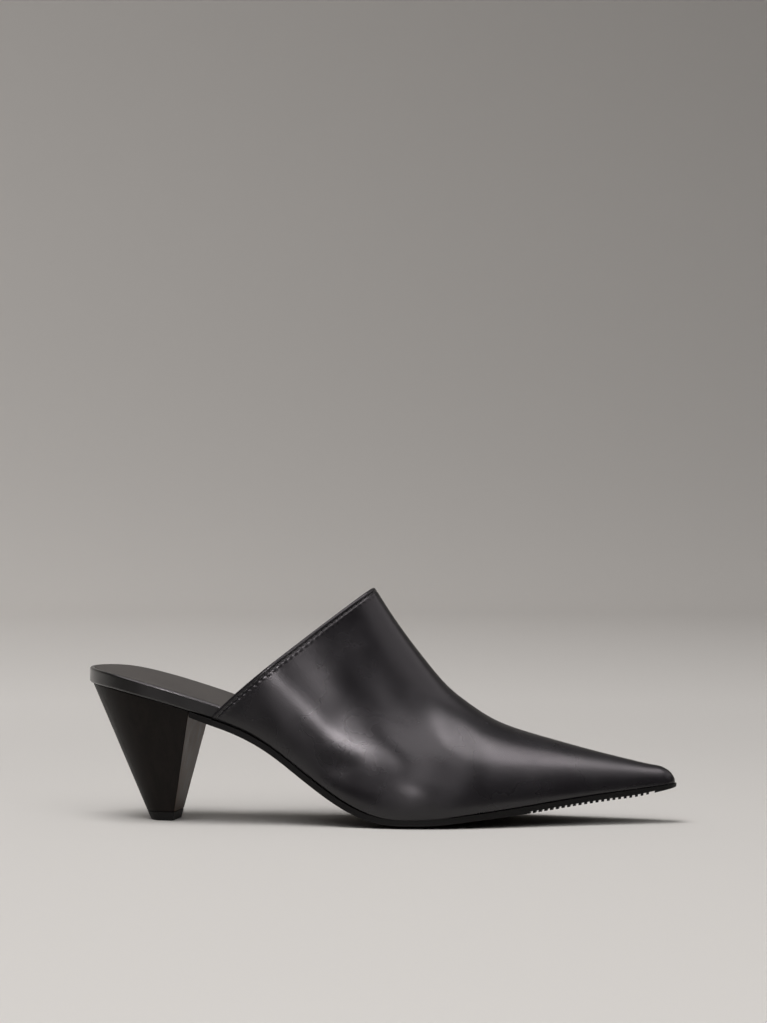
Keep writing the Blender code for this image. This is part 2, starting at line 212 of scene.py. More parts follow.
# Ribs of the last from the sole's edge to the ridge, one row for each foot of a rib.
# crest_along, crest_height and crest_across place its top, shoulder and round shape its curve,
# bulge is a share of the side bulge, bow of the collar's bow, and wrap turns it about the nose.
RIBS = (
    ("along", "crest_along", "crest_height", "follows",
     "crest_across", "shoulder", "round", "bulge", "bow", "wrap"),
    (COLLAR, 0.4930, 1.000, "instep", 0.036, 2.20, 2.10, 0.40, 1.00, 0.0),
    (0.274, 0.5010, 0.975, "instep", 0.037, 2.10, 2.05, 0.60, 0.75, 0.0),
    (0.328, 0.5150, 0.926, "instep", 0.038, 2.00, 2.00, 0.80, 0.50, 0.0),
    (0.385, 0.5340, 0.859, "instep", 0.039, 1.85, 1.95, 0.90, 0.25, 0.0),
    (0.442, 0.5585, 0.771, "instep", 0.040, 1.70, 1.90, 1.00, 0.10, 0.0),
    (0.499, 0.5890, 0.668, "instep", 0.041, 1.55, 1.85, 1.00, 0.00, 0.0),
    (0.557, 0.6215, 1.156, "tread", 0.041, 1.48, 1.82, 1.00, 0.00, 0.0),
    (0.610, 0.6560, 0.990, "tread", 0.042, 1.47, 1.80, 0.90, 0.00, 0.0),
    (0.667, 0.6960, 0.819, "tread", 0.042, 1.52, 1.85, 0.80, 0.00, 0.0),
    (0.724, 0.7380, 0.696, "tread", 0.042, 1.60, 1.92, 0.60, 0.00, 0.0),
    (0.785, 0.7930, 0.567, "tread", 0.042, 1.70, 2.00, 0.40, 0.00, 0.0),
    (0.846, 0.8480, 2.165, "toe", 0.042, 1.80, 2.10, 0.20, 0.00, 0.3),
    (0.904, 0.9015, 1.620, "toe", 0.042, 1.90, 2.20, 0.10, 0.00, 0.7),
    (0.945, 0.9400, 1.260, "toe", 0.042, 1.95, 2.20, 0.05, 0.00, 1.0),
    (NOSE, 0.9660, 1.000, "toe", 0.042, 2.00, 2.15, 0.00, 0.00, 1.0),
    (1.000, 0.9660, 1.000, "toe", 0.042, 2.00, 2.00, 0.00, 0.00, 1.0),
)

# Soft ridges and troughs of the worked leather. along and up are the place of the
# middle as shares of the board and of the way up a rib, turn is from level toward upright in
# degrees, and the last three are the half length, the half width and the height in metres.
CREASES = (
    ("side", "along", "up", "turn", "reach", "spread", "height"),
    (OUTER, 0.442, 0.153, 35, 0.0122, 0.0070, -0.00095),
    (OUTER, 0.505, 0.363, -9, 0.0129, 0.0078, 0.00085),
    (OUTER, 0.298, 0.123, -28, 0.0264, 0.0085, 0.00085),
    (OUTER, 0.296, 0.211, -11, 0.0314, 0.0075, 0.00095),
    (OUTER, 0.563, 0.196, 76, 0.0360, 0.0153, 0.00090),
    (OUTER, 0.567, 0.220, -12, 0.0150, 0.0070, 0.00080),
    (OUTER, 0.608, 0.442, -21, 0.0130, 0.0070, 0.00085),
    (OUTER, 0.500, 0.46, 12, 0.0060, 0.0012, -0.00010),
    (OUTER, 0.503, 0.51, 16, 0.0050, 0.0012, 0.00008),
    (OUTER, 0.512, 0.42, 8, 0.0050, 0.0011, -0.00008),
    (INNER, 0.505, 0.44, 14, 0.0070, 0.0014, -0.00012),
    (INNER, 0.515, 0.50, 10, 0.0060, 0.0013, 0.00010),
    (INNER, 0.270, 0.26, 50, 0.0090, 0.0028, 0.00018),
)

# Where handling has dulled the polish: the middle as shares of the board and of the way up a rib,
# how far it fades out in the same shares, and how much of the polish is gone.
DULLED = (
    ("side", "along", "up", "reach", "rise", "share"),
    (OUTER, 0.590, 0.14, 0.065, 0.22, 0.85),
    (OUTER, 0.280, 0.27, 0.085, 0.25, 0.32),
    (OUTER, 0.960, 0.60, 0.150, 0.60, 0.60),
)
DULLER = 0.19

# How far a reading of a table is evened out, as a share of the board, and the weights for it
FAIRING = 0.014
RIB_FAIRING = 0.024
FAIRING_STEPS = np.linspace(-2, 2, 9)
FAIRING_WEIGHTS = np.exp(-FAIRING_STEPS ** 2 / 2) / np.exp(-FAIRING_STEPS ** 2 / 2).sum()

# How finely each piece is divided
TOPLINE_LEVELS = np.array((
    0.0, 0.08, 0.25, 0.5, 0.8, 1.1, 1.35, 1.55, 1.7, 1.85, 2.0, 2.15, 2.3, 2.45, 2.65, 2.95,
    3.4, 4.0, 4.7, 5.5, 6.4,
)) * MILLIMETRE
STITCH_ROW = int(np.abs(TOPLINE_LEVELS - STITCH_INSET).argmin())
BEYOND_LEVELS = 1.0
FAN_ROWS = 150
NOSE_ROWS = 14
RIB_POINTS = 60
FAN_PROBES = 90
PROBE_REACH = 0.10
PROBE_CROWDING = 1.5
LAYER_STATIONS = 150
SOLE_STATIONS = 90
RIM_ARC_POINTS = 8
TIP_STATIONS = 10
TREAD_COLUMNS = (
    0.0, 0.03, 0.06, 0.10, 0.15, 0.20, 0.25, 0.5, 0.75, 0.80, 0.85, 0.90, 0.94, 0.97, 1.0,
)
TREAD_FLAT = 0.5
FACING_DOWN = -0.5
CUP_COLUMNS = tuple(step / 20 for step in range(21))
EDGES_ONLY = (0.0, 1.0)
HEEL_ARC_POINTS = 28
HEEL_SIDE_POINTS = 6
HEEL_LEVELS = 8
TIP_LEVELS = 2
BREAST_TRIES = 4
STITCH_POINTS = 4
SHARP = math.radians(35)

# The photograph's frame and the place of its camera beside the shoe
PHOTO_HEIGHT = 1023
FOCAL_PIXELS = 3212
SENSOR = 36
CAMERA_TURN = math.radians(5)
CAMERA_DISTANCE = 1.450
CAMERA_HEIGHT = 0.1395
AIM_FROM_SEAT = 0.134


# Reading the tables

def column(table, name):
    """Lists one column of a table, as lengths where the next one names the sizes it follows."""
    place = table[0].index(name)
    sized = table[0][place + 1:place + 2] == ("follows",)
    return [row[place] * (SIZES[row[place + 1]] if sized else 1) for row in table[1:]]


def smooth(table, name, unit=1.0, fairing=FAIRING):
    """Returns a function that runs smoothly through a column and never swings past its rows."""
    places = np.array(column(table, "along"))
    values = np.array(column(table, name)) * unit
    steps = np.diff(places)
    slopes = np.diff(values) / steps
    before, after = slopes[:-1], slopes[1:]
    turning = before * after <= 0
    between = np.where(turning, 0.0, 2 * before * after / np.where(turning, 1.0, before + after))
    tangents = np.concatenate(([slopes[0]], between, [slopes[-1]]))

    def read(along):
        along = np.clip(along, places[0], places[-1])
        row = np.clip(np.searchsorted(places, along, side="right") - 1, 0, len(steps) - 1)
        part = (along - places[row]) / steps[row]
        back = 1 - part
        value = values[row] * (1 + 2 * part) * back ** 2 + values[row + 1] * part ** 2 * (3 - 2 * part)
        return value + steps[row] * part * back * (tangents[row] * back - tangents[row + 1] * part)

    def fair(along):
        """Evens the reading out over its surroundings, and holds it at the table's ends."""
        total = 0.0
        for offset, weight in zip(FAIRING_STEPS, FAIRING_WEIGHTS):
            place = np.asarray(along) + offset * fairing
            held = np.clip(place, places[0], places[-1])
            total = total + weight * (2 * read(held) - read(2 * held - place))
        return total

    return fair


half_width = smooth(OUTLINE, "half_width")
centre = smooth(OUTLINE, "centre", BALL_WIDTH)
bed_rise = smooth(BED, "rise")
inner_lift = smooth(TILT, "lift", INNER_LIFT)
edge_thickness = smooth(EDGE, "thickness", SOLE_EDGE)
crown_share = smooth(EDGE, "crown")
board_thickness = smooth(BOARD, "thickness")
rib_tables = {
    name: smooth(RIBS, name, fairing=RIB_FAIRING)
    for name in RIBS[0] if name not in ("along", "follows")
}


# The last's outline and bed

def rounded(distance, radius):
    """Share of the half width that a round end leaves at a distance from its tip."""
    inside = np.clip(distance / radius, 0.0, 1.0)
    return np.sqrt(1 - (1 - inside) ** 2)


def outline_y(along, side):
    """Across position of the board's edge."""
    ends = rounded(along * BOARD_LENGTH, SEAT_WIDTH / 2)
    ends = ends * rounded((1 - along) * BOARD_LENGTH, TOE_POINT_WIDTH / 2)
    return centre(along) + side * half_width(along) * ends


def outline_normal(along, side):
    """Direction that leads straight out of the board's edge, in plan."""
    nudge = 0.00002
    slope = (outline_y(along + nudge, side) - outline_y(along - nudge, side)) / (2 * nudge * BOARD_LENGTH)
    size = np.hypot(1, slope)
    ahead = np.where(along < nudge, -1.0, np.where(along > 1 - nudge, 1.0, -side * slope / size))
    sideways = np.where((along < nudge) | (along > 1 - nudge), 0.0, side / size)
    return ahead, sideways


def edge_point(along, side, reach):
    """Plan point at a distance outside the board's edge, or inside it where reach is negative."""
    ahead, sideways = outline_normal(along, side)
    return along * BOARD_LENGTH + ahead * reach, outline_y(along, side) + sideways * reach


def across(x, y):
    """Place between the outer edge, at -1, and the inner edge, at 1."""
    return (y - centre(x / BOARD_LENGTH)) / half_width(x / BOARD_LENGTH)


def bed(x, y):
    """Height of the face on which board and upper stand."""
    along = x / BOARD_LENGTH
    return SOLE_EDGE + SOLE_CROWN + bed_rise(along) + inner_lift(along) * (across(x, y) + 1) / 2


def steepness(x):
    """How much longer the bed is than its plan length at x, from its slope."""
    nudge = 0.001
    slope = (bed_rise((x + nudge) / BOARD_LENGTH) - bed_rise((x - nudge) / BOARD_LENGTH)) / (2 * nudge)
    return np.hypot(1, slope)


def board_top(x, y):
    """Height of the board's rim."""
    return bed(x, y) + GAP + board_thickness(x / BOARD_LENGTH) * steepness(x)


def recess_floor(x, y):
    """Height of the shallow recess that the sock lies in, with its cup at the seat."""
    from_back = rounded(np.maximum(0.0, x), SEAT_WIDTH / 2) ** 2
    cup = SEAT_CUP * np.maximum(0.0, 1 - across(x, y) ** 2) * from_back
    return board_top(x, y) - SOCK - cup


def end_crowded(count):
    """Shares from 0 to 1 that crowd together at both ends."""
    return (1 - np.cos(np.pi * np.arange(count + 1) / count)) / 2


# Where the frame holds the last: the board's back is the seat's back, and its outer edge the rest
board_low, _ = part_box("insole_board")
SHIFT = Vector((
    board_low.x,
    board_low.y - float(outline_y(end_crowded(LAYER_STATIONS), OUTER).min()),
    0.0,
))


# Making meshes and objects

def grid_faces(rows, columns, wrap=False):
    """Quads of a grid of points, row after row, and round each row where it wraps."""
    faces = []
    for row in range(rows - 1):
        for place in range(columns if wrap else columns - 1):
            after = (place + 1) % columns
            start = row * columns
            faces.append((start + place, start + after, start + columns + after, start + columns + place))
    return faces


def weld(mesh, outward):
    """Joins the points of a mesh that fall together, and turns its faces outward where asked to."""
    welded = bmesh.new()
    welded.from_mesh(mesh)
    bmesh.ops.remove_doubles(welded, verts=welded.verts, dist=WELD)
    bmesh.ops.dissolve_degenerate(welded, edges=welded.edges, dist=WELD)
    if outward:
        bmesh.ops.recalc_face_normals(welded, faces=welded.faces)
    welded.to_mesh(mesh)
    welded.free()
    mesh.shade_smooth()


def linked(name, data):
    """Makes an object of a mesh, a light or a camera and puts it in the scene."""
    made = bpy.data.objects.new(name, data)
    bpy.context.scene.collection.objects.link(made)
    return made


def finished(name, points, faces, materials, replaces=(), slot=None, marks=None, face_materials=None):
    """Makes a piece from its points, closes its seams and lets it ride on the shoe."""
    mesh = bpy.data.meshes.new(name)
    mesh.from_pydata((np.asarray(points) + np.array(SHIFT)).tolist(), [], faces)
    for label, values in (marks or {}).items():
        mesh.attributes.new(label, "FLOAT", "POINT").data.foreach_set("value", values)
    if face_materials is not None:
        mesh.polygons.foreach_set("material_index", face_materials)
    weld(mesh, True)
    for material in materials:
        mesh.materials.append(material)
    piece = linked(name, mesh)
    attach(piece, "root")
    if replaces:
        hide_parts(*replaces)
    return piece


def skinned(name, sections, material, cap_first, cap_last, **facts):
    """Skins a row of closed sections, each of as many points."""
    rows, columns, _ = sections.shape
    faces = grid_faces(rows, columns, wrap=True)
    if cap_first:
        faces.append(tuple(reversed(range(columns))))
    if cap_last:
        faces.append(tuple(range((rows - 1) * columns, rows * columns)))
    return finished(name, sections.reshape(-1, 3), faces, [material], **facts)


def soft_edges(piece, width, segments=3, share_at=None):
    """Rounds the sharp edges of a piece and keeps its flat faces flat.

    share_at gives each sharp edge's share of the width from its two ends.
    """
    mesh = piece.data
    measured = bmesh.new()
    measured.from_mesh(mesh)
    weights = []
    for edge in measured.edges:
        sharp = len(edge.link_faces) == 2 and edge.calc_face_angle(0.0) > SHARP
        share = share_at(*(vertex.co for vertex in edge.verts)) if share_at else 1.0
        weights.append(share if sharp else 0.0)
    measured.free()
    mesh.attributes.new("bevel_weight_edge", "FLOAT", "EDGE").data.foreach_set("value", weights)
    rounding = piece.modifiers.new("soft_edges", "BEVEL")
    rounding.width = width
    rounding.segments = segments
    rounding.limit_method = "WEIGHT"
    rounding.use_clamp_overlap = True
    piece.modifiers.new("flat_faces", "WEIGHTED_NORMAL").keep_sharp = True


def layer_sections(outer_shares, inner_shares, rings, low_columns, high_columns):
    """Closed sections of a layer: under face, inner edge, upper face and outer edge in turn.

    rings runs up the edge as (reach, height function) pairs, from the under face to the upper one.
    """
    def edge(side, shares, ring):
        x, y = edge_point(shares, side, ring[0])
        return np.stack((x, y, ring[1](x, y)), -1)[:, None]

    def face(ring, columns):
        start = np.stack(edge_point(outer_shares, OUTER, ring[0]), -1)
        end = np.stack(edge_point(inner_shares, INNER, ring[0]), -1)
        share = np.array(columns)[None, :, None]
        plan = start[:, None] * (1 - share) + end[:, None] * share
        return np.concatenate((plan, ring[1](plan[..., 0], plan[..., 1])[..., None]), -1)

    inner_edge = [edge(INNER, inner_shares, ring) for ring in rings[1:-1]]
    outer_edge = [edge(OUTER, outer_shares, ring) for ring in reversed(rings[1:-1])]
    under, over = face(rings[0], low_columns), face(rings[-1], high_columns[::-1])
    return np.concatenate([under, *inner_edge, over, *outer_edge], 1)


def raised(height, rise):
    """A height function lifted by a rise."""
    return lambda x, y: height(x, y) + rise


def rounded_rim(inset, radius, top):
    """Rings round the upper corner of an edge, from its side on to the face whose height top gives."""
    rings = []
    for step in range(RIM_ARC_POINTS + 1):
        angle = math.pi / 2 * step / RIM_ARC_POINTS
        rings.append((-inset - radius * (1 - math.cos(angle)), raised(top, radius * (math.sin(angle) - 1))))
    return rings


def run_along(line):
    """Length of a line of points from its start to each of them."""
    return np.concatenate(([0.0], np.cumsum(np.linalg.norm(np.diff(line, axis=0), axis=1))))


# Building node trees

def add(tree, kind, inputs=None, **settings):
    """Adds a node, sets it up, and fills or links its inputs by name or place."""
    made = tree.nodes.new(kind)
    for setting, value in settings.items():
        setattr(made, setting, value)
    for key, value in (inputs or {}).items():
        if isinstance(value, bpy.types.NodeSocket):
            tree.links.new(value, made.inputs[key])
        else:
            made.inputs[key].default_value = value
    return made


def maths(tree, operation, *values):
    """One sum on numbers."""
    return add(tree, "ShaderNodeMath", dict(enumerate(values)), operation=operation).outputs[0]


def times(tree, first, second):
    """The product of two numbers."""
    return maths(tree, "MULTIPLY", first, second)


def remap(tree, value, low, high, to_low=0.0, to_high=1.0):
    """Carries a value smoothly from one range to another."""
    inputs = {"Value": value, "From Min": low, "From Max": high, "To Min": to_low, "To Max": to_high}
    return add(tree, "ShaderNodeMapRange", inputs, interpolation_type="SMOOTHSTEP").outputs["Result"]


def colour_mix(tree, share, first, second):
    """Mixes two colours by a share."""
    return add(tree, "ShaderNodeMix", {0: share, 6: first, 7: second}, data_type="RGBA").outputs[2]


def part_of(tree, vector, axis):
    """One of the three numbers of a vector."""
    return add(tree, "ShaderNodeSeparateXYZ", {0: vector}).outputs[axis]


def mark(tree, name):
    """A number that the mesh carries at each of its points."""
    return add(tree, "ShaderNodeAttribute", attribute_name=name).outputs["Fac"]


def noise(tree, vector, scale, detail=2.0, roughness=0.5):
    """Fractal noise at a scale per metre."""
    inputs = {"Vector": vector, "Scale": scale, "Detail": detail, "Roughness": roughness}
    return add(tree, "ShaderNodeTexNoise", inputs).outputs["Fac"]


def node_group(kind, name, inputs, outputs):
    """Starts a group of shader or geometry nodes, with its sockets given by name and sort."""
    group = bpy.data.node_groups.new(name, kind + "NodeTree")
    for way, sockets in (("INPUT", inputs), ("OUTPUT", outputs)):
        for socket, sort in sockets.items():
            group.interface.new_socket(socket, in_out=way, socket_type="NodeSocket" + sort)
    return group, group.nodes.new("NodeGroupInput").outputs, group.nodes.new("NodeGroupOutput").inputs


def give_out(tree, last, material, made):
    """Ends geometry nodes: turns what the last node made real, in its material, and gives it out."""
    real = add(tree, "GeometryNodeRealizeInstances", {"Geometry": last.outputs[0]})
    inputs = {"Geometry": real.outputs[0], "Material": material}
    tree.links.new(add(tree, "GeometryNodeSetMaterial", inputs).outputs[0], made[0])


def grown(carrier, tree, values):
    """Runs geometry nodes on an object, their inputs set by name, and returns the plain mesh."""
    modifier = carrier.modifiers.new("grown", "NODES")
    modifier.node_group = tree
    for item in tree.interface.items_tree:
        if item.item_type == "SOCKET" and item.in_out == "INPUT" and item.name in values:
            modifier[item.identifier] = values[item.name]
    bpy.context.view_layer.update()
    graph = bpy.context.evaluated_depsgraph_get()
    mesh = bpy.data.meshes.new_from_object(carrier.evaluated_get(graph))
    carrier.modifiers.clear()
    return mesh


# The finishes

def grey(level, warm=0.0):
    """A near-black or grey with a little warmth, as a colour socket's value."""
    return (level * (1 + warm), level, level * (1 - warm), 1.0)


# Leather's grain: how it wanders off its pebbles, and its finer pores and slower change of tone
GRAIN_WANDER_SCALE = 900.0
GRAIN_WANDER = 0.0006
PEBBLE_SMOOTHNESS = 0.6
PORES_PER_PEBBLE = 2.6
PORE_SHARE = 0.4
TONES_PER_METRE = 45.0
TONE_RANGE = (0.3, 0.7)
GLOSS_CHANGE = (-0.03, 0.04)

# The upper's leather, and the needle holes, painted near-black as painted shade, and the pull of the
# stitches in it, in metres
UPPER_TONES = ((0.0120, 0.0108, 0.0124, 1), (0.0155, 0.0140, 0.0160, 1))
UPPER_ROUGHNESS = 0.24
UPPER_PEBBLES = 2200.0
UPPER_GRAIN = 0.000022
HOLE_RADII = (0.00020, 0.00048)
HOLE_DEPTH = 0.00020
PULL_INSET = STITCH_INSET + 0.0011
PULL_WIDTH = 0.0012
PULL_HEIGHT = 0.00010

# Plain leathers: their two tones and warmth, roughness, pebbles per metre, grain depth, then coat
PLAIN_LEATHERS = {
    "grey_lining_leather": (0.030, 0.040, 0.05, 0.62, 1900.0, 0.00003, 0.0, 0.3),
    "black_band_leather": (0.0060, 0.0080, 0.05, 0.36, 1700.0, 0.00002, 0.7, 0.18),
    "grey_sock_leather": (0.054, 0.066, 0.10, 0.62, 2100.0, 0.00003, 0.0, 0.3),
}

# The heel's stain and lacquer by the share of a streak, and a lighter brown painted on faces by how far
# they look ahead, as painted light on the flat front
STREAKS_PER_METRE = 1500.0
STREAK_STRETCH = 0.035
WIDE_STREAKS = 0.22
STREAK_DEPTH = 0.00004
SIDE_RANGE = (0.35, 0.65)
SIDE_TONES = ((0.0075, 0.0060, 0.0050, 1), (0.0120, 0.0092, 0.0078, 1))
FRONT_PAINTED_LIGHT_RANGE = (0.38, 0.62)
FRONT_PAINTED_LIGHT_TONES = ((0.034, 0.017, 0.008, 1), (0.085, 0.050, 0.030, 1))
PAINTED_LIGHT_FACING = (0.75, 0.95)
LACQUER_GLOSS = (0.36, 0.50)
LACQUER_IOR = 1.22

# The rubber's and the thread's texture
RUBBER_IOR = 1.28
CASTS_PER_METRE = 2600.0
CAST_DEPTH = 0.00003
TWISTS_PER_METRE = 5200.0
TWIST_DEPTH = 0.00005


def grain_group():
    """Leather grain: soft pebbles broken by fine pores, as a height, and a slow change of tone."""
    sockets = {"Vector": "Vector", "Pebbles per metre": "Float"}
    found = {"Height": "Float", "Tone": "Float"}
    group, given, made = node_group("Shader", "leather_grain", sockets, found)
    place, scale = given["Vector"], given["Pebbles per metre"]
    wander = add(group, "ShaderNodeTexNoise", {"Vector": place, "Scale": GRAIN_WANDER_SCALE, "Detail": 1.0})
    inputs = {0: wander.outputs["Color"], "Scale": GRAIN_WANDER}
    offset = add(group, "ShaderNodeVectorMath", inputs, operation="SCALE").outputs[0]
    bent = add(group, "ShaderNodeVectorMath", {0: place, 1: offset})
    inputs = {"Vector": bent.outputs[0], "Scale": scale, "Smoothness": PEBBLE_SMOOTHNESS}
    pebbles = add(group, "ShaderNodeTexVoronoi", inputs, feature="SMOOTH_F1").outputs["Distance"]
    pores = noise(group, place, times(group, scale, PORES_PER_PEBBLE), 3.0, 0.6)
    height = maths(group, "SUBTRACT", 1.0, pebbles)
    height = maths(group, "ADD", height, times(group, pores, PORE_SHARE))
    group.links.new(height, made["Height"])
    group.links.new(noise(group, place, TONES_PER_METRE, 3.0, 0.55), made["Tone"])
    return group


def streak_group():
    """Fine streaks that run up and down, as a share, for stained wood."""
    sockets = {"Vector": "Vector", "Streaks per metre": "Float"}
    group, given, made = node_group("Shader", "upright_streaks", sockets, {"Streaks": "Float"})
    scale = given["Streaks per metre"]
    inputs = {"Vector": given["Vector"], "Scale": (1.0, 1.0, STREAK_STRETCH)}
    stretched = add(group, "ShaderNodeMapping", inputs, vector_type="POINT").outputs[0]
    fine = noise(group, stretched, scale, 3.0, 0.6)
    wide = noise(group, stretched, times(group, scale, WIDE_STREAKS), 2.0, 0.5)
    group.links.new(times(group, maths(group, "ADD", fine, wide), 0.5), made["Streaks"])
    return group


def new_finish(name, roughness, coat=0.0, coat_roughness=0.3, ior=1.5):
    """A material with its constants on the shader's own sockets, its tree, those sockets and place."""
    material = bpy.data.materials.new(name)
    material.use_nodes = True
    tree = material.node_tree
    surface = tree.nodes["Principled BSDF"].inputs
    surface["Roughness"].default_value = roughness
    surface["IOR"].default_value = ior
    surface["Coat Weight"].default_value = coat
    surface["Coat Roughness"].default_value = coat_roughness
    return material, tree, surface, add(tree, "ShaderNodeTexCoord").outputs["Object"]


def patterned(tree, group, place, scale):
    """Puts a pattern's group in a material at a scale per metre, and returns what it gives."""
    return add(tree, "ShaderNodeGroup", {0: place, 1: scale}, node_tree=group).outputs


def raise_surface(tree, surface, height, depth=1.0):
    """Bumps a surface by a height in metres, or by a share of a depth."""
    height = times(tree, height, depth)
    bump = add(tree, "ShaderNodeBump", {"Strength": 1.0, "Distance": 1.0, "Height": height})
    tree.links.new(bump.outputs["Normal"], surface["Normal"])


def leather_finish(name, grain, tones, roughness, pebbles, **gloss):
    """Finished leather: grain, a slow change of tone, and a roughness that follows it."""
    material, tree, surface, place = new_finish(name, roughness, **gloss)
    grained = patterned(tree, grain, place, pebbles)
    tone = grained["Tone"]
    tree.links.new(colour_mix(tree, remap(tree, tone, *TONE_RANGE), *tones), surface["Base Color"])
    worn = [roughness + change for change in GLOSS_CHANGE]
    tree.links.new(remap(tree, tone, *TONE_RANGE, *worn), surface["Roughness"])
    return material, tree, surface, grained["Height"]


def upper_finish(grain):
    """The upper's smooth black leather with the needle holes, sunk and painted near-black as painted shade,
    and the pull of its topline stitches.
    """
    material, tree, surface, grained = leather_finish(
        "black_upper_leather", grain, UPPER_TONES, UPPER_ROUGHNESS, UPPER_PEBBLES,
    )
    from_edge = mark(tree, "from_topline")
    off_middle = maths(tree, "SUBTRACT", maths(tree, "FRACT", mark(tree, "stitches_along")), 0.5)
    to_hole = times(tree, maths(tree, "SUBTRACT", 0.5, maths(tree, "ABSOLUTE", off_middle)), STITCH_PITCH)
    off_line = maths(tree, "SUBTRACT", from_edge, STITCH_INSET)
    squares = [times(tree, offset, offset) for offset in (to_hole, off_line)]
    hole_and_shade = remap(tree, maths(tree, "SQRT", maths(tree, "ADD", *squares)), *HOLE_RADII, 1.0, 0.0)
    off_pull = maths(tree, "ABSOLUTE", maths(tree, "SUBTRACT", from_edge, PULL_INSET))
    near_pull = remap(tree, off_pull, 0.0, PULL_WIDTH, 1.0, 0.0)
    pull = times(tree, remap(tree, to_hole, 0.0, STITCH_PITCH / 2), near_pull)
    gloss, base = (surface[socket].links[0].from_socket for socket in ("Roughness", "Base Color"))
    dull = maths(tree, "ADD", gloss, times(tree, mark(tree, "dulled"), DULLER))
    tree.links.new(dull, surface["Roughness"])
    # Needle holes painted near-black: painted shade in the holes.
    tree.links.new(colour_mix(tree, hole_and_shade, base, grey(0.001)), surface["Base Color"])
    height = times(tree, grained, UPPER_GRAIN)
    height = maths(tree, "SUBTRACT", height, times(tree, hole_and_shade, HOLE_DEPTH))
    height = maths(tree, "ADD", height, times(tree, pull, PULL_HEIGHT))
    raise_surface(tree, surface, height)
    return material


def plain_leather(name, grain):
    """Leather with grain alone, by its row in the table."""
    dark, light, warm, roughness, pebbles, depth, coat, coat_roughness = PLAIN_LEATHERS[name]
    material, tree, surface, grained = leather_finish(
        name, grain, (grey(dark, warm), grey(light, warm)), roughness, pebbles,
        coat=coat, coat_roughness=coat_roughness,
    )
    raise_surface(tree, surface, grained, depth)
    return material


def rubber_finish(name, level, roughness):
    """Matt black rubber with a faint cast texture."""
    material, tree, surface, place = new_finish(name, roughness, ior=RUBBER_IOR)
    colour = colour_mix(tree, noise(tree, place, 60.0), grey(level), grey(level * 1.5, 0.06))
    tree.links.new(colour, surface["Base Color"])
    raise_surface(tree, surface, noise(tree, place, CASTS_PER_METRE, 3.0, 0.6), CAST_DEPTH)
    return material


def heel_finish(streaks):
    """Black-stained heel with fine upright streaks and a dull lacquer, with a lighter brown painted on its
    flat front as painted light.
    """
    material, tree, surface, place = new_finish("black_stained_heel", LACQUER_GLOSS[1], ior=LACQUER_IOR)
    streak = patterned(tree, streaks, place, STREAKS_PER_METRE)["Streaks"]
    side = colour_mix(tree, remap(tree, streak, *SIDE_RANGE), *SIDE_TONES)
    # The flat front takes lighter brown tones by how far it looks ahead, as painted light.
    front = colour_mix(tree, remap(tree, streak, *FRONT_PAINTED_LIGHT_RANGE), *FRONT_PAINTED_LIGHT_TONES)
    facing = add(tree, "ShaderNodeTexCoord").outputs["Normal"]
    ahead = remap(tree, part_of(tree, facing, "X"), *PAINTED_LIGHT_FACING)
    tree.links.new(colour_mix(tree, ahead, side, front), surface["Base Color"])
    tree.links.new(remap(tree, streak, *SIDE_RANGE, *LACQUER_GLOSS), surface["Roughness"])
    raise_surface(tree, surface, streak, STREAK_DEPTH)
    return material


def thread_finish():
    """Waxed black sewing thread."""
    material, tree, surface, place = new_finish("waxed_thread", 0.34)
    twist = noise(tree, place, TWISTS_PER_METRE, 1.0)
    tree.links.new(colour_mix(tree, twist, grey(0.016), grey(0.045)), surface["Base Color"])
    raise_surface(tree, surface, twist, TWIST_DEPTH)
    return material


# The upper

def swell(share):
    """Bulge of a rib between its foot and its top, fullest at a quarter of its height."""
    return np.sin(np.pi * share ** 0.5)


def bow(share):
    """Backward curve of the collar between the foot and the top of its first rib."""
    return np.sin(np.pi * share ** 0.6)


def last_point(along, side, angle):
    """Point of the last's surface: angle runs up a rib from the sole's edge to the ridge."""
    row = {name: read(along) for name, read in rib_tables.items()}
    foot_x, foot_y = edge_point(along, side, UPPER_REACH)
    out_x, out_y = outline_normal(along, side)
    foot_height = bed(foot_x, foot_y) + GAP
    crest_x = row["crest_along"] * BOARD_LENGTH
    crest_y = row["crest_across"] * BALL_WIDTH
    crest_height = bed(crest_x, crest_y) + row["crest_height"]
    rise = np.clip(np.sin(angle), 0.0, 1.0) ** (2 / row["shoulder"])
    reach = np.clip(np.cos(angle), 0.0, 1.0) ** (2 / row["round"])
    ahead = (1 - rise) * (1 - row["wrap"]) + reach * row["wrap"]
    bulge = SIDE_BULGE * row["bulge"] * swell(rise)
    x = crest_x + (foot_x - crest_x) * ahead + bulge * out_x - COLLAR_BOW * row["bow"] * bow(rise)
    y = crest_y + (foot_y - crest_y) * reach + bulge * out_y
    return np.stack((x, y, foot_height + (crest_height - foot_height) * rise), -1)


def rib_places():
    """Side and angle of each column of points, from the outer foot over the ridge to the inner foot."""
    angles = np.pi / 2 * np.arange(RIB_POINTS + 1) / RIB_POINTS
    sides = np.array([OUTER] * (RIB_POINTS + 1) + [INNER] * RIB_POINTS)
    return sides, np.concatenate((angles, angles[-2::-1]))


def nearest(points, line):
    """Distance from each point to a line of points."""
    starts, ends = line[:-1], line[1:]
    run = ends - starts
    offset = points[..., None, :] - starts
    share = np.clip((offset * run).sum(-1) / (run * run).sum(-1), 0.0, 1.0)
    return np.linalg.norm(offset - run * share[..., None], axis=-1).min(-1)


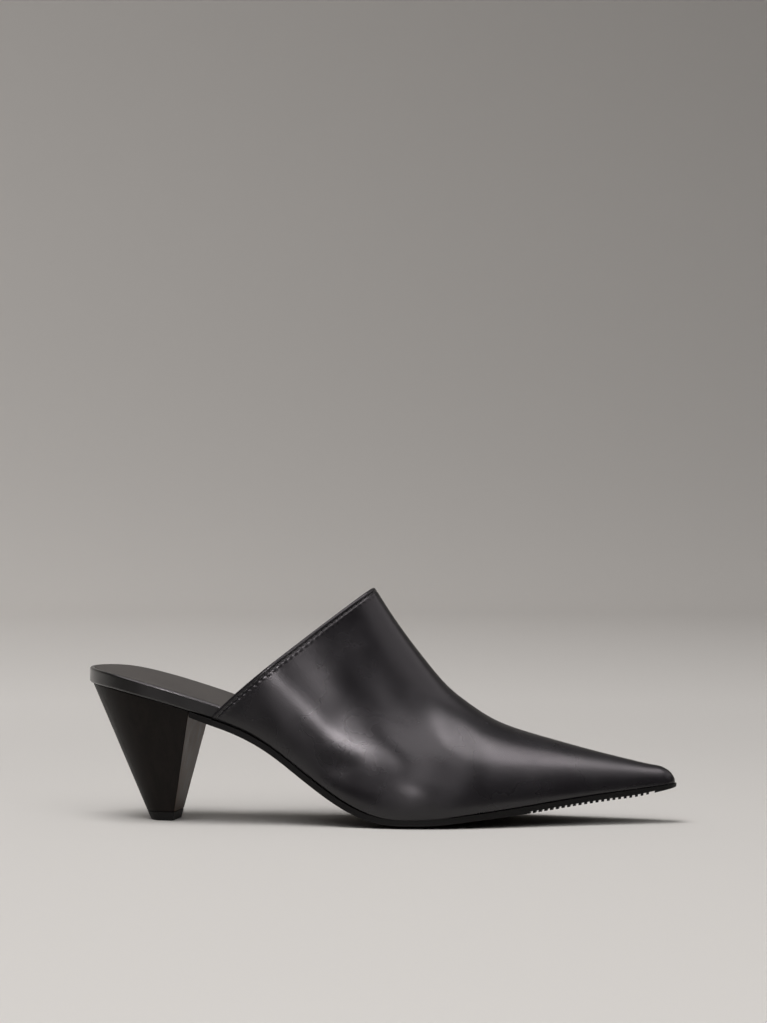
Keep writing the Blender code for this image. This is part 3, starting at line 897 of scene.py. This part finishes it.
def upper_rows(sides, angles):
    """Share along the last at each point of the grid: level with the topline first, then fanning."""
    topline = last_point(np.full(len(sides), COLLAR), sides, angles)
    probes = COLLAR + PROBE_REACH * np.linspace(0, 1, FAN_PROBES) ** PROBE_CROWDING
    probed = last_point(probes[:, None] + np.zeros(len(sides)), sides, angles)
    rising = np.arange(FAN_PROBES)[:, None] * SLIVER
    distance = np.maximum.accumulate(nearest(probed, topline) + rising, 0)
    level_rows = np.stack([np.interp(TOPLINE_LEVELS, run, probes) for run in distance.T], 1)
    share = np.linspace(0, 1, FAN_ROWS + 1)[1:, None]
    fan_rows = level_rows[-1] + (NOSE - level_rows[-1]) * share
    turns = np.sin(np.pi / 2 * np.arange(1, NOSE_ROWS + 1) / NOSE_ROWS)[:, None]
    nose_rows = NOSE + (1 - NOSE) * turns + np.zeros(len(sides))
    return np.concatenate((level_rows, fan_rows, nose_rows))


def outward_normals(points):
    """Unit normals of a grid of points, shared where points of the grid fall together."""
    rows, columns, _ = points.shape
    first = points[1:, 1:] - points[:-1, :-1]
    second = points[1:, :-1] - points[:-1, 1:]
    facing = np.cross(first, second)
    total = np.zeros_like(points)
    for down in (0, 1):
        for over in (0, 1):
            total[down:rows - 1 + down, over:columns - 1 + over] += facing
    keys = np.round(points.reshape(-1, 3) / WELD).astype(np.int64)
    _, group = np.unique(keys, axis=0, return_inverse=True)
    group = group.reshape(-1)
    summed = np.zeros((group.max() + 1, 3))
    np.add.at(summed, group, total.reshape(-1, 3))
    normals = summed[group]
    normals /= np.linalg.norm(normals, axis=1, keepdims=True)
    return normals.reshape(points.shape)


def crease_relief(points):
    """Height of the listed ridges and troughs at each point."""
    relief = np.zeros(points.shape[:-1])
    nudge = 0.002
    for side, along, up, turn, reach, spread, height in CREASES[1:]:
        middle = last_point(np.array(along), side, up * np.pi / 2)
        ahead = last_point(np.array(along + nudge), side, up * np.pi / 2) - middle
        upward = last_point(np.array(along), side, up * np.pi / 2 + nudge) - middle
        ahead /= np.linalg.norm(ahead)
        upward -= ahead * (upward @ ahead)
        upward /= np.linalg.norm(upward)
        lie = ahead * math.cos(math.radians(turn)) + upward * math.sin(math.radians(turn))
        offset = points - middle
        length = offset @ lie
        beside = np.linalg.norm(offset - length[..., None] * lie, axis=-1)
        relief += height * np.exp(-(length / reach) ** 2 - (beside / spread) ** 2)
    return relief


def dulled_polish(along, sides, angles):
    """How much of the polish is gone at each point of the grid."""
    gone = np.zeros(along.shape)
    for side, middle, up, reach, rise, share in DULLED[1:]:
        beside = ((along - middle) / reach) ** 2 + ((angles * 2 / np.pi - up) / rise) ** 2
        gone += np.where(sides == side, share * np.exp(-beside), 0.0)
    return gone


def make_upper(leather, lining):
    """Hollow upper with a folded topline, a stitch groove, worked leather and a lined inside."""
    sides, angles = rib_places()
    along = upper_rows(sides, angles)
    points = last_point(along, sides, angles)
    rows, columns, _ = points.shape
    normals = outward_normals(points)
    if ((points - points.mean((0, 1))) * normals).sum() < 0:
        normals = -normals
    from_edge = np.full((rows, columns), BEYOND_LEVELS)
    from_edge[:len(TOPLINE_LEVELS)] = TOPLINE_LEVELS[:, None]
    within = np.maximum(0.0, WALL / 2 - from_edge)
    round_edge = WALL / 2 - np.sqrt(np.maximum(0.0, (WALL / 2) ** 2 - within ** 2))
    groove = STITCH_GROOVE * np.exp(-((from_edge - STITCH_INSET) / GROOVE_WIDTH) ** 2)
    outside = points + normals * (crease_relief(points) - groove - round_edge)[..., None]
    inside = points - normals * (WALL - round_edge - groove / 2)[..., None]
    for foot in (0, -1):
        inside[:, foot, 2] = outside[:, foot, 2]

    count = rows * columns
    faces = grid_faces(rows, columns)
    turned_in = int((TOPLINE_LEVELS < FOLD_TURN_IN).sum()) - 1
    inner_faces = [tuple(count + corner for corner in reversed(face)) for face in faces]
    feet = []
    for row in range(rows - 1):
        for foot in (0, columns - 1):
            low, high = row * columns + foot, (row + 1) * columns + foot
            feet.append((low, high, count + high, count + low))
    lined = [int(place >= turned_in * (columns - 1)) for place in range(len(inner_faces))]
    face_materials = [0] * len(faces) + lined + [0] * len(feet)

    run = run_along(outside[STITCH_ROW])
    stitches = round(run[-1] / STITCH_PITCH)
    marks = {
        "from_topline": np.tile(from_edge.ravel(), 2),
        "stitches_along": np.tile(np.tile(run / run[-1] * stitches, rows), 2),
        "dulled": np.tile(dulled_polish(along, sides, angles).ravel(), 2),
    }
    finished(
        "upper_leather_shell", np.concatenate((outside.reshape(-1, 3), inside.reshape(-1, 3))),
        faces + inner_faces + feet, [leather, lining], replaces=("upper",), slot="upper_leather",
        marks=marks, face_materials=face_materials,
    )
    return {
        "stitches": stitches,
        "outside": (outside[STITCH_ROW], normals[STITCH_ROW]),
        "inside": (inside[STITCH_ROW], -normals[STITCH_ROW]),
    }


# The stitches

# A thread's lowest and highest points in thread widths, how finely it is made, and how the hand
# that sewed it varied each stitch in length, width and height
THREAD_SUNK = -0.75
THREAD_CROWN = 1.15
BOW_STEPS = 8
THREAD_SIDES = 7
SWAY_LEAST = (0.93, 0.92, 0.90)
SWAY_MOST = (1.05, 1.08, 1.08)


def stitch_tree():
    """Geometry nodes that lay one bowed thread at each step of a line."""
    sockets = {
        "Line": "Geometry", "Stitches": "Int", "Stitch length": "Float", "Thread width": "Float",
        "Seed": "Int", "Thread": "Material",
    }
    tree, given, made = node_group("Geometry", "topline_stitches", sockets, {"Stitches": "Geometry"})
    half, sunk, top, radius = (
        times(tree, given[size], share) for size, share in (
            ("Stitch length", 0.5), ("Thread width", THREAD_SUNK),
            ("Thread width", THREAD_CROWN), ("Thread width", 0.5),
        )
    )
    ends = {
        "Start": {"X": times(tree, half, -1.0), "Z": sunk},
        "Middle": {"Z": top},
        "End": {"X": half, "Z": sunk},
    }
    inputs = {end: add(tree, "ShaderNodeCombineXYZ", place).outputs[0] for end, place in ends.items()}
    bowed = add(tree, "GeometryNodeCurveQuadraticBezier", {"Resolution": BOW_STEPS, **inputs})
    thick = add(tree, "GeometryNodeCurvePrimitiveCircle", {"Resolution": THREAD_SIDES, "Radius": radius})
    inputs = {"Curve": bowed.outputs[0], "Profile Curve": thick.outputs[0], "Fill Caps": True}
    thread = add(tree, "GeometryNodeCurveToMesh", inputs)
    soft = add(tree, "GeometryNodeSetShadeSmooth", {"Geometry": thread.outputs[0]})
    line = add(tree, "GeometryNodeMeshToCurve", {"Mesh": given["Line"]})
    inputs = {"Curve": line.outputs[0], "Count": given["Stitches"]}
    steps = add(tree, "GeometryNodeResampleCurve", inputs)
    outward = add(tree, "GeometryNodeInputNamedAttribute", {"Name": "outward"}, data_type="FLOAT_VECTOR")
    along = add(tree, "GeometryNodeInputTangent")
    inputs = {"Primary Axis": outward.outputs["Attribute"], "Secondary Axis": along.outputs[0]}
    turn = add(tree, "FunctionNodeAxesToRotation", inputs, primary_axis="Z", secondary_axis="X")
    inputs = {0: SWAY_LEAST, 1: SWAY_MOST, "Seed": given["Seed"]}
    sway = add(tree, "FunctionNodeRandomValue", inputs, data_type="FLOAT_VECTOR")
    inputs = {
        "Points": steps.outputs[0], "Instance": soft.outputs[0], "Rotation": turn.outputs[0],
        "Scale": sway.outputs[0],
    }
    laid = add(tree, "GeometryNodeInstanceOnPoints", inputs)
    give_out(tree, laid, given["Thread"], made)
    return tree


def sewn(name, tree, line, outward, count, seed, thread):
    """Runs the stitch tree along a line and leaves the stitches as a plain piece."""
    mesh = bpy.data.meshes.new(name)
    spans = [(place, place + 1) for place in range(len(line) - 1)]
    mesh.from_pydata((line + np.array(SHIFT)).tolist(), spans, [])
    mesh.attributes.new("outward", "FLOAT_VECTOR", "POINT").data.foreach_set("vector", outward.ravel())
    carrier = linked(name + "_line", mesh)
    stitches = grown(carrier, tree, {
        "Stitches": count, "Stitch length": STITCH_LENGTH, "Thread width": THREAD_WIDTH,
        "Seed": seed, "Thread": thread,
    })
    bpy.data.objects.remove(carrier)
    piece = linked(name, stitches)
    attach(piece, "root")


def make_stitches(seam, thread):
    """The lockstitch of the topline, seen outside on the leather and inside on the lining."""
    tree = stitch_tree()
    count = seam["stitches"]
    half = 0.5 / count
    for seed, face in enumerate(("outside", "inside")):
        run = run_along(seam[face][0])
        shares = np.linspace(half, 1 - half, STITCH_POINTS * count) * run[-1]
        path, outward = (
            np.stack([np.interp(shares, run, axis) for axis in values.T], 1) for values in seam[face]
        )
        sewn(f"topline_stitches_{face}", tree, path, outward, count, seed, thread)


# The board and the sock

def make_layer(name, material, rings, low_columns, **facts):
    """A layer of the seat, from heel to toe, with the rings of its edge and a face cupped like it."""
    shares = end_crowded(LAYER_STATIONS)
    sections = layer_sections(shares, shares, rings, low_columns, CUP_COLUMNS)
    skinned(name, sections, material, False, False, **facts)


def make_band(leather):
    """Leather-wrapped board: a band with a rounded rim at the seat, thinner inside the upper."""
    rings = [
        (-RIM_RADIUS / 2, raised(bed, GAP)),
        (0.0, raised(bed, GAP + RIM_RADIUS / 2)),
        (0.0, raised(bed, GAP + RIM_RADIUS)),
        (0.0, raised(board_top, -RIM_RADIUS * RIM_SHOULDER)),
        *rounded_rim(0.0, RIM_RADIUS, board_top),
        (-BOARD_RIM, board_top),
        (-BOARD_RIM, recess_floor),
    ]
    make_layer("seat_band", leather, rings, EDGES_ONLY, replaces=("insole_board",), slot="band_leather")


def make_sock(leather):
    """Thin leather sock in the board's recess, its edges pressed round."""
    inset = BOARD_RIM + GAP
    face = raised(recess_floor, GAP + SOCK)
    rings = [(-inset, raised(recess_floor, GAP)), *rounded_rim(inset, SOCK_ROUNDING, face)]
    make_layer("sock", leather, rings, CUP_COLUMNS, replaces=("sock_lining",), slot="sock_leather")


# The sole

def breast_x(y):
    """Where the heel's flat front stands at an across position: it faces a little outward."""
    return BREAST + math.tan(HEEL_TOE_OUT) * y


def breast_station(side, reach, clearance):
    """Share along the board at which a line beside its edge meets the breast, or clears it."""
    along = BREAST / BOARD_LENGTH
    for _ in range(BREAST_TRIES):
        _, y = edge_point(along, side, reach)
        along = (breast_x(y) + clearance) / BOARD_LENGTH
    return float(along)


def crown(x, y):
    """How far the tread bellies below the sole's edge: level in the middle, none at the edge."""
    beyond = np.clip((np.abs(across(x, y)) - TREAD_FLAT) / (1 - TREAD_FLAT), 0.0, 1.0)
    return SOLE_CROWN * crown_share(x / BOARD_LENGTH) * (1 - beyond ** 2)


def rib_tree():
    """Geometry nodes that raise the ribs of the tread between its grooves."""
    sizes = ("First groove", "Ribbed length", "Pitch", "Groove", "Depth")
    sockets = {"Sole": "Geometry", **dict.fromkeys(sizes, "Float"), "Rubber": "Material"}
    tree, given, made = node_group("Geometry", "tread_ribs", sockets, {"Sole": "Geometry"})
    place = part_of(tree, add(tree, "GeometryNodeInputPosition").outputs[0], "X")
    facing = part_of(tree, add(tree, "GeometryNodeInputNormal").outputs[0], "Z")
    run = maths(tree, "SUBTRACT", place, given["First groove"])
    phase = maths(tree, "FLOORED_MODULO", run, given["Pitch"])
    chosen = maths(tree, "GREATER_THAN", phase, given["Groove"])
    for test, value, limit in (
        ("GREATER_THAN", run, 0.0),
        ("LESS_THAN", run, given["Ribbed length"]),
        ("LESS_THAN", facing, FACING_DOWN),
    ):
        chosen = times(tree, chosen, maths(tree, test, value, limit))
    down = add(tree, "ShaderNodeCombineXYZ", {"Z": times(tree, given["Depth"], -1.0)}).outputs[0]
    inputs = {"Mesh": given["Sole"], "Selection": chosen, "Offset": down, "Individual": False}
    ribs = add(tree, "GeometryNodeExtrudeMesh", inputs, mode="FACES")
    give_out(tree, ribs, given["Rubber"], made)
    return tree


def make_sole(rubber):
    """Thin sole from the heel's breast to the toe, ribbed across under the toe."""
    first_groove = BOARD_LENGTH - PLAIN_TIP - RIBBED_LENGTH
    ribs = range(int(RIBBED_LENGTH / RIB_PITCH))
    start = COLLAR * BOARD_LENGTH
    plain = start + (first_groove - start) * np.arange(SOLE_STATIONS + 1) / SOLE_STATIONS
    grooved = [first_groove + rib * RIB_PITCH + offset for rib in ribs for offset in (0.0, RIB_GROOVE)]
    last = grooved[-1]
    tip = last + (BOARD_LENGTH - last) * np.sin(np.pi / 2 * np.arange(TIP_STATIONS + 1) / TIP_STATIONS)
    shares = np.concatenate((plain, grooved, tip)) / BOARD_LENGTH
    depths = np.concatenate(([0.0], 0 * plain, [RIB_DEPTH] * len(grooved), 0 * tip))[:, None]
    outer, inner = (
        np.concatenate(([breast_station(side, 0.0, GAP)], shares)) for side in (OUTER, INNER)
    )
    reach = np.where(outer >= COLLAR - SLIVER, SOLE_REACH, 0.0)

    def tread(x, y):
        thickness = edge_thickness(x / BOARD_LENGTH) * steepness(x)
        return bed(x, y) - thickness - crown(x, y) + depths

    sections = layer_sections(outer, inner, [(reach, tread), (reach, bed)], TREAD_COLUMNS, EDGES_ONLY)
    piece = skinned("ribbed_sole", sections, rubber, True, False)
    piece.data = grown(piece, rib_tree(), {
        "First groove": first_groove + SHIFT.x, "Ribbed length": (len(ribs) - 1) * RIB_PITCH,
        "Pitch": RIB_PITCH, "Groove": RIB_GROOVE, "Depth": RIB_DEPTH, "Rubber": rubber,
    })
    soft_edges(piece, SOLE_ROUNDING, 2)
    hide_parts("outsole")


# The heel

def heel_lines():
    """Foot and head of each corner line of the heel, from breast to breast round the back."""
    radius = HEEL_FOOT_WIDTH / 2
    foot_centre = float(centre(BREAST / BOARD_LENGTH))
    shares = [(1 - step / HEEL_SIDE_POINTS, 0.0) for step in range(HEEL_SIDE_POINTS)]
    shares += [(0.0, math.pi / 2 * step / HEEL_ARC_POINTS) for step in range(HEEL_ARC_POINTS + 1)]
    feet, heads = [], []
    for side in (OUTER, INNER):
        half = []
        for share, angle in shares:
            back = SEAT_WIDTH / 2 * (1 - math.sin(angle)) / BOARD_LENGTH
            along = back + (breast_station(side, -HEEL_SETBACK, 0.0) - back) * share
            x, y = edge_point(np.array(along), side, -HEEL_SETBACK)
            head = (float(x), float(y), float(bed(x, y)))
            foot_x = HEEL_FOOT_BACK + radius * (1 - math.sin(angle))
            foot_y = foot_centre + side * radius * math.cos(angle)
            foot_x += (HEEL_FOOT_BACK + HEEL_FOOT_LENGTH - foot_x) * share
            foot_x += math.tan(HEEL_TOE_OUT) * (foot_y - foot_centre) * share
            half.append(((foot_x, foot_y, 0.0), head))
        half = half if side == OUTER else list(reversed(half))[1:]
        feet += [foot for foot, _ in half]
        heads += [head for _, head in half]
    return np.array(feet), np.array(heads)


def heel_piece(name, material, low, high, levels, rounding, **facts):
    """Skins the level loops of the heel from a height to another, or to its top where that is None.

    The edges are rounded, and less where the heel and its tip meet.
    """
    feet, heads = heel_lines()
    tops = heads[:, 2]
    run = (tops if high is None else high) - low
    shares = [(low + run * step / levels) / tops for step in range(levels + 1)]
    sections = np.array([feet + (heads - feet) * share[:, None] for share in shares])
    piece = skinned(name, sections, material, True, True, **facts)

    def share_at(start, end):
        at_joint = all(abs(point.z - TOP_PIECE) < MILLIMETRE / 2 for point in (start, end))
        return TIGHT_JOINT if at_joint else 1.0

    soft_edges(piece, rounding, share_at=share_at)


def make_heel(stain):
    """Tapering heel with a round back and a flat front."""
    heel_piece(
        "tapering_heel", stain, TOP_PIECE + GAP, None, HEEL_LEVELS, HEEL_ROUNDING,
        replaces=("heel",), slot="heel_wood",
    )


def make_tip(rubber):
    """Wearing tip that carries on the heel's taper down to the floor."""
    heel_piece(
        "heel_tip", rubber, 0.0, TOP_PIECE, TIP_LEVELS, TIP_ROUNDING,
        replaces=("top_piece",), slot="tip_rubber",
    )


# The stage, the lights and the camera

def make_camera():
    """The photograph's view: level, a little in front of the shoe's side."""
    eye = bpy.data.cameras.new("photo_view")
    eye.sensor_width = SENSOR
    eye.lens = FOCAL_PIXELS * SENSOR / PHOTO_HEIGHT
    holder = linked("photo_view", eye)
    holder.location = (
        SHIFT.x + AIM_FROM_SEAT + math.sin(CAMERA_TURN) * CAMERA_DISTANCE,
        SHIFT.y - math.cos(CAMERA_TURN) * CAMERA_DISTANCE,
        CAMERA_HEIGHT,
    )
    holder.rotation_euler = (math.pi / 2, 0, CAMERA_TURN)
    bpy.context.scene.camera = holder


def softbox(name, place, aim, size, power):
    """A rectangular area light that looks at a point."""
    lamp = bpy.data.lights.new(name, "AREA")
    lamp.shape = "RECTANGLE"
    lamp.size, lamp.size_y = size
    lamp.energy = power
    holder = linked(name, lamp)
    holder.location = place
    holder.rotation_euler = (Vector(aim) - Vector(place)).to_track_quat("-Z", "Y").to_euler()
    return holder


FLOOR_RADIUS = 3.0
FLOOR_STEPS = 6
COVE_RADIUS = 1.6
WALL_TOP = 4.5
STAGE_SPOKES = 96
COVE_STEPS = 24

# The studio paper, and its share of light by the distance run out over the floor and up the wall
PAPER = (0.74, 0.71, 0.68)
PAPER_TONES = (
    (0.0, 0.94), (0.3, 0.94), (0.6, 0.95), (0.93, 1.05), (1.8, 1.10), (3.0, 1.21), (3.3, 1.21),
    (3.64, 1.09), (3.96, 0.99), (4.28, 0.92), (4.6, 0.88), (5.0, 0.78),
)
PAPER_REACH = 6.0

# Where the paper starts and ends to darken toward the right, as painted shade, and where it turns
# from a dark tone, painted as shade in what the shoe sees, to its own
RIGHT_SHADE_RANGE = (-0.3, 0.9)
PAINTED_RIGHT_SHADE = 0.15
REFLECTED_SHADE_RANGE = (-0.70, 0.0)
REFLECTED_SHADE_TONE = 0.06

# Soft lights that the gloss doesn't show: place, point they look at, size and power
SOFTBOXES = {
    "overhead": ((-0.45, -0.5, 2.5), (0.0, 0.0, 0.0), (1.6, 1.4), 40),
    "wide_in_front": ((0.3, -2.2, 2.2), (0.0, 0.2, 0.0), (3.2, 2.4), 36),
    "on_the_backdrop": ((-1.3, 1.9, 2.6), (-1.0, 4.2, 0.3), (1.6, 1.2), 12),
}

# Panels that only the gloss shows: turn, rise, distance, width and height in degrees, brightness
PANELS = {
    "toe_side_high": (90, 62, 1.9, 22, 6, 5.7),
    "toe_side_broad": (104, 38, 2.4, 58, 24, 0.55),
    "over_the_shoe": (-5, 77, 2.3, 60, 60, 1.7),
    "beside_camera": (-4.5, 22.0, 2.2, 6, 5, 66.0),
}
PANEL_COLOUR = (1.0, 0.92, 0.96)
POWER_OF_GLOW = 4
AIR_COLOUR = (1.0, 0.98, 0.97, 1)
AIR_GLOW = 0.15
SHOE_MIDDLE = (0.0, 0.0, 0.04)


def paper_finish():
    """Pale matt studio paper, darker toward the right as painted shade, and painted dark as shade in what
    the shoe sees on the camera's side.
    """
    material, tree, surface, place = new_finish("pale_studio_paper", 0.9)
    surface["Specular IOR Level"].default_value = 0.0
    run = maths(tree, "DIVIDE", mark(tree, "paper_run"), PAPER_REACH)
    ramp = add(tree, "ShaderNodeValToRGB", {"Fac": run})
    stops = ramp.color_ramp.elements
    while len(stops) < len(PAPER_TONES):
        stops.new(0.5)
    for stop, (distance, tone) in zip(stops, PAPER_TONES):
        stop.position = distance / PAPER_REACH
        stop.color = (*(tone * part for part in PAPER), 1)
    ramp.color_ramp.interpolation = "B_SPLINE"
    right, back = (part_of(tree, place, axis) for axis in ("X", "Y"))
    # The paper darkens toward the right as painted shade.
    fading = times(tree, remap(tree, back, *RIGHT_SHADE_RANGE), PAINTED_RIGHT_SHADE)
    fade = maths(tree, "SUBTRACT", 1.0, times(tree, right, fading))
    faded = add(tree, "ShaderNodeCombineXYZ", {"X": fade, "Y": fade, "Z": fade}).outputs[0]
    seen = colour_mix(tree, 1.0, ramp.outputs["Color"], faded)
    seen.node.blend_type = "MULTIPLY"
    # On the camera's side the shoe sees the paper painted dark, as painted shade; the camera sees its own
    # tone.
    reflected_shade = colour_mix(tree, remap(tree, back, *REFLECTED_SHADE_RANGE, REFLECTED_SHADE_TONE), grey(0.0), seen)
    lit = add(tree, "ShaderNodeLightPath").outputs["Is Camera Ray"]
    tree.links.new(colour_mix(tree, lit, reflected_shade, seen), surface["Base Color"])
    return material


def make_stage():
    """Round pale studio floor that turns up into a wall on every side."""
    profile = [(FLOOR_RADIUS * step / FLOOR_STEPS, 0.0) for step in range(FLOOR_STEPS + 1)]
    for step in range(1, COVE_STEPS + 1):
        angle = math.pi / 2 * step / COVE_STEPS
        profile.append((FLOOR_RADIUS + COVE_RADIUS * math.sin(angle), COVE_RADIUS * (1 - math.cos(angle))))
    profile.append((FLOOR_RADIUS + COVE_RADIUS, WALL_TOP))
    runs = np.repeat(run_along(profile), STAGE_SPOKES)
    turns = [2 * math.pi * spoke / STAGE_SPOKES for spoke in range(STAGE_SPOKES)]
    points = [(r * math.cos(turn), r * math.sin(turn), z) for r, z in profile for turn in turns]
    mesh = bpy.data.meshes.new("studio_floor")
    mesh.from_pydata(points, [], grid_faces(len(profile), STAGE_SPOKES, wrap=True))
    mesh.attributes.new("paper_run", "FLOAT", "POINT").data.foreach_set("value", runs)
    weld(mesh, False)
    mesh.materials.append(paper_finish())
    floor = linked("studio_floor", mesh)


def toward(turn, rise, distance):
    """Place at a distance from the shoe: turn is from the camera's side toward the toe, in degrees."""
    turn, rise = math.radians(turn), math.radians(rise)
    level = math.cos(rise) * distance
    return math.sin(turn) * level, -math.cos(turn) * level, SHOE_MIDDLE[2] + math.sin(rise) * distance


def reflected(name, turn, rise, distance, wide, tall, glow):
    """A panel seen only in the shoe's gloss: its width and height in degrees and its brightness."""
    span = [2 * math.tan(math.radians(angle) / 2) * distance for angle in (wide, tall)]
    power = POWER_OF_GLOW * span[0] * span[1] * glow
    panel = softbox(name, toward(turn, rise, distance), SHOE_MIDDLE, span, power)
    panel.data.color = PANEL_COLOUR
    panel.visible_diffuse = False


def make_lights():
    """Soft studio light from above and in front, and the panels that the gloss reflects."""
    world = bpy.data.worlds.new("studio_air")
    world.use_nodes = True
    air = world.node_tree.nodes["Background"].inputs
    air["Color"].default_value = AIR_COLOUR
    air["Strength"].default_value = AIR_GLOW
    bpy.context.scene.world = world
    for name, facts in SOFTBOXES.items():
        softbox(name, *facts).visible_glossy = False
    for name, facts in PANELS.items():
        reflected(name, *facts)


grain = grain_group()
seam = make_upper(upper_finish(grain), plain_leather("grey_lining_leather", grain))
make_stitches(seam, thread_finish())
make_band(plain_leather("black_band_leather", grain))
make_sock(plain_leather("grey_sock_leather", grain))
make_sole(rubber_finish("black_sole_rubber", 0.0045, 0.45))
make_heel(heel_finish(streak_group()))
make_tip(rubber_finish("black_tip_rubber", 0.0075, 0.55))

make_camera()
make_stage()
make_lights()
bpy.context.scene.view_settings.view_transform = "Standard"
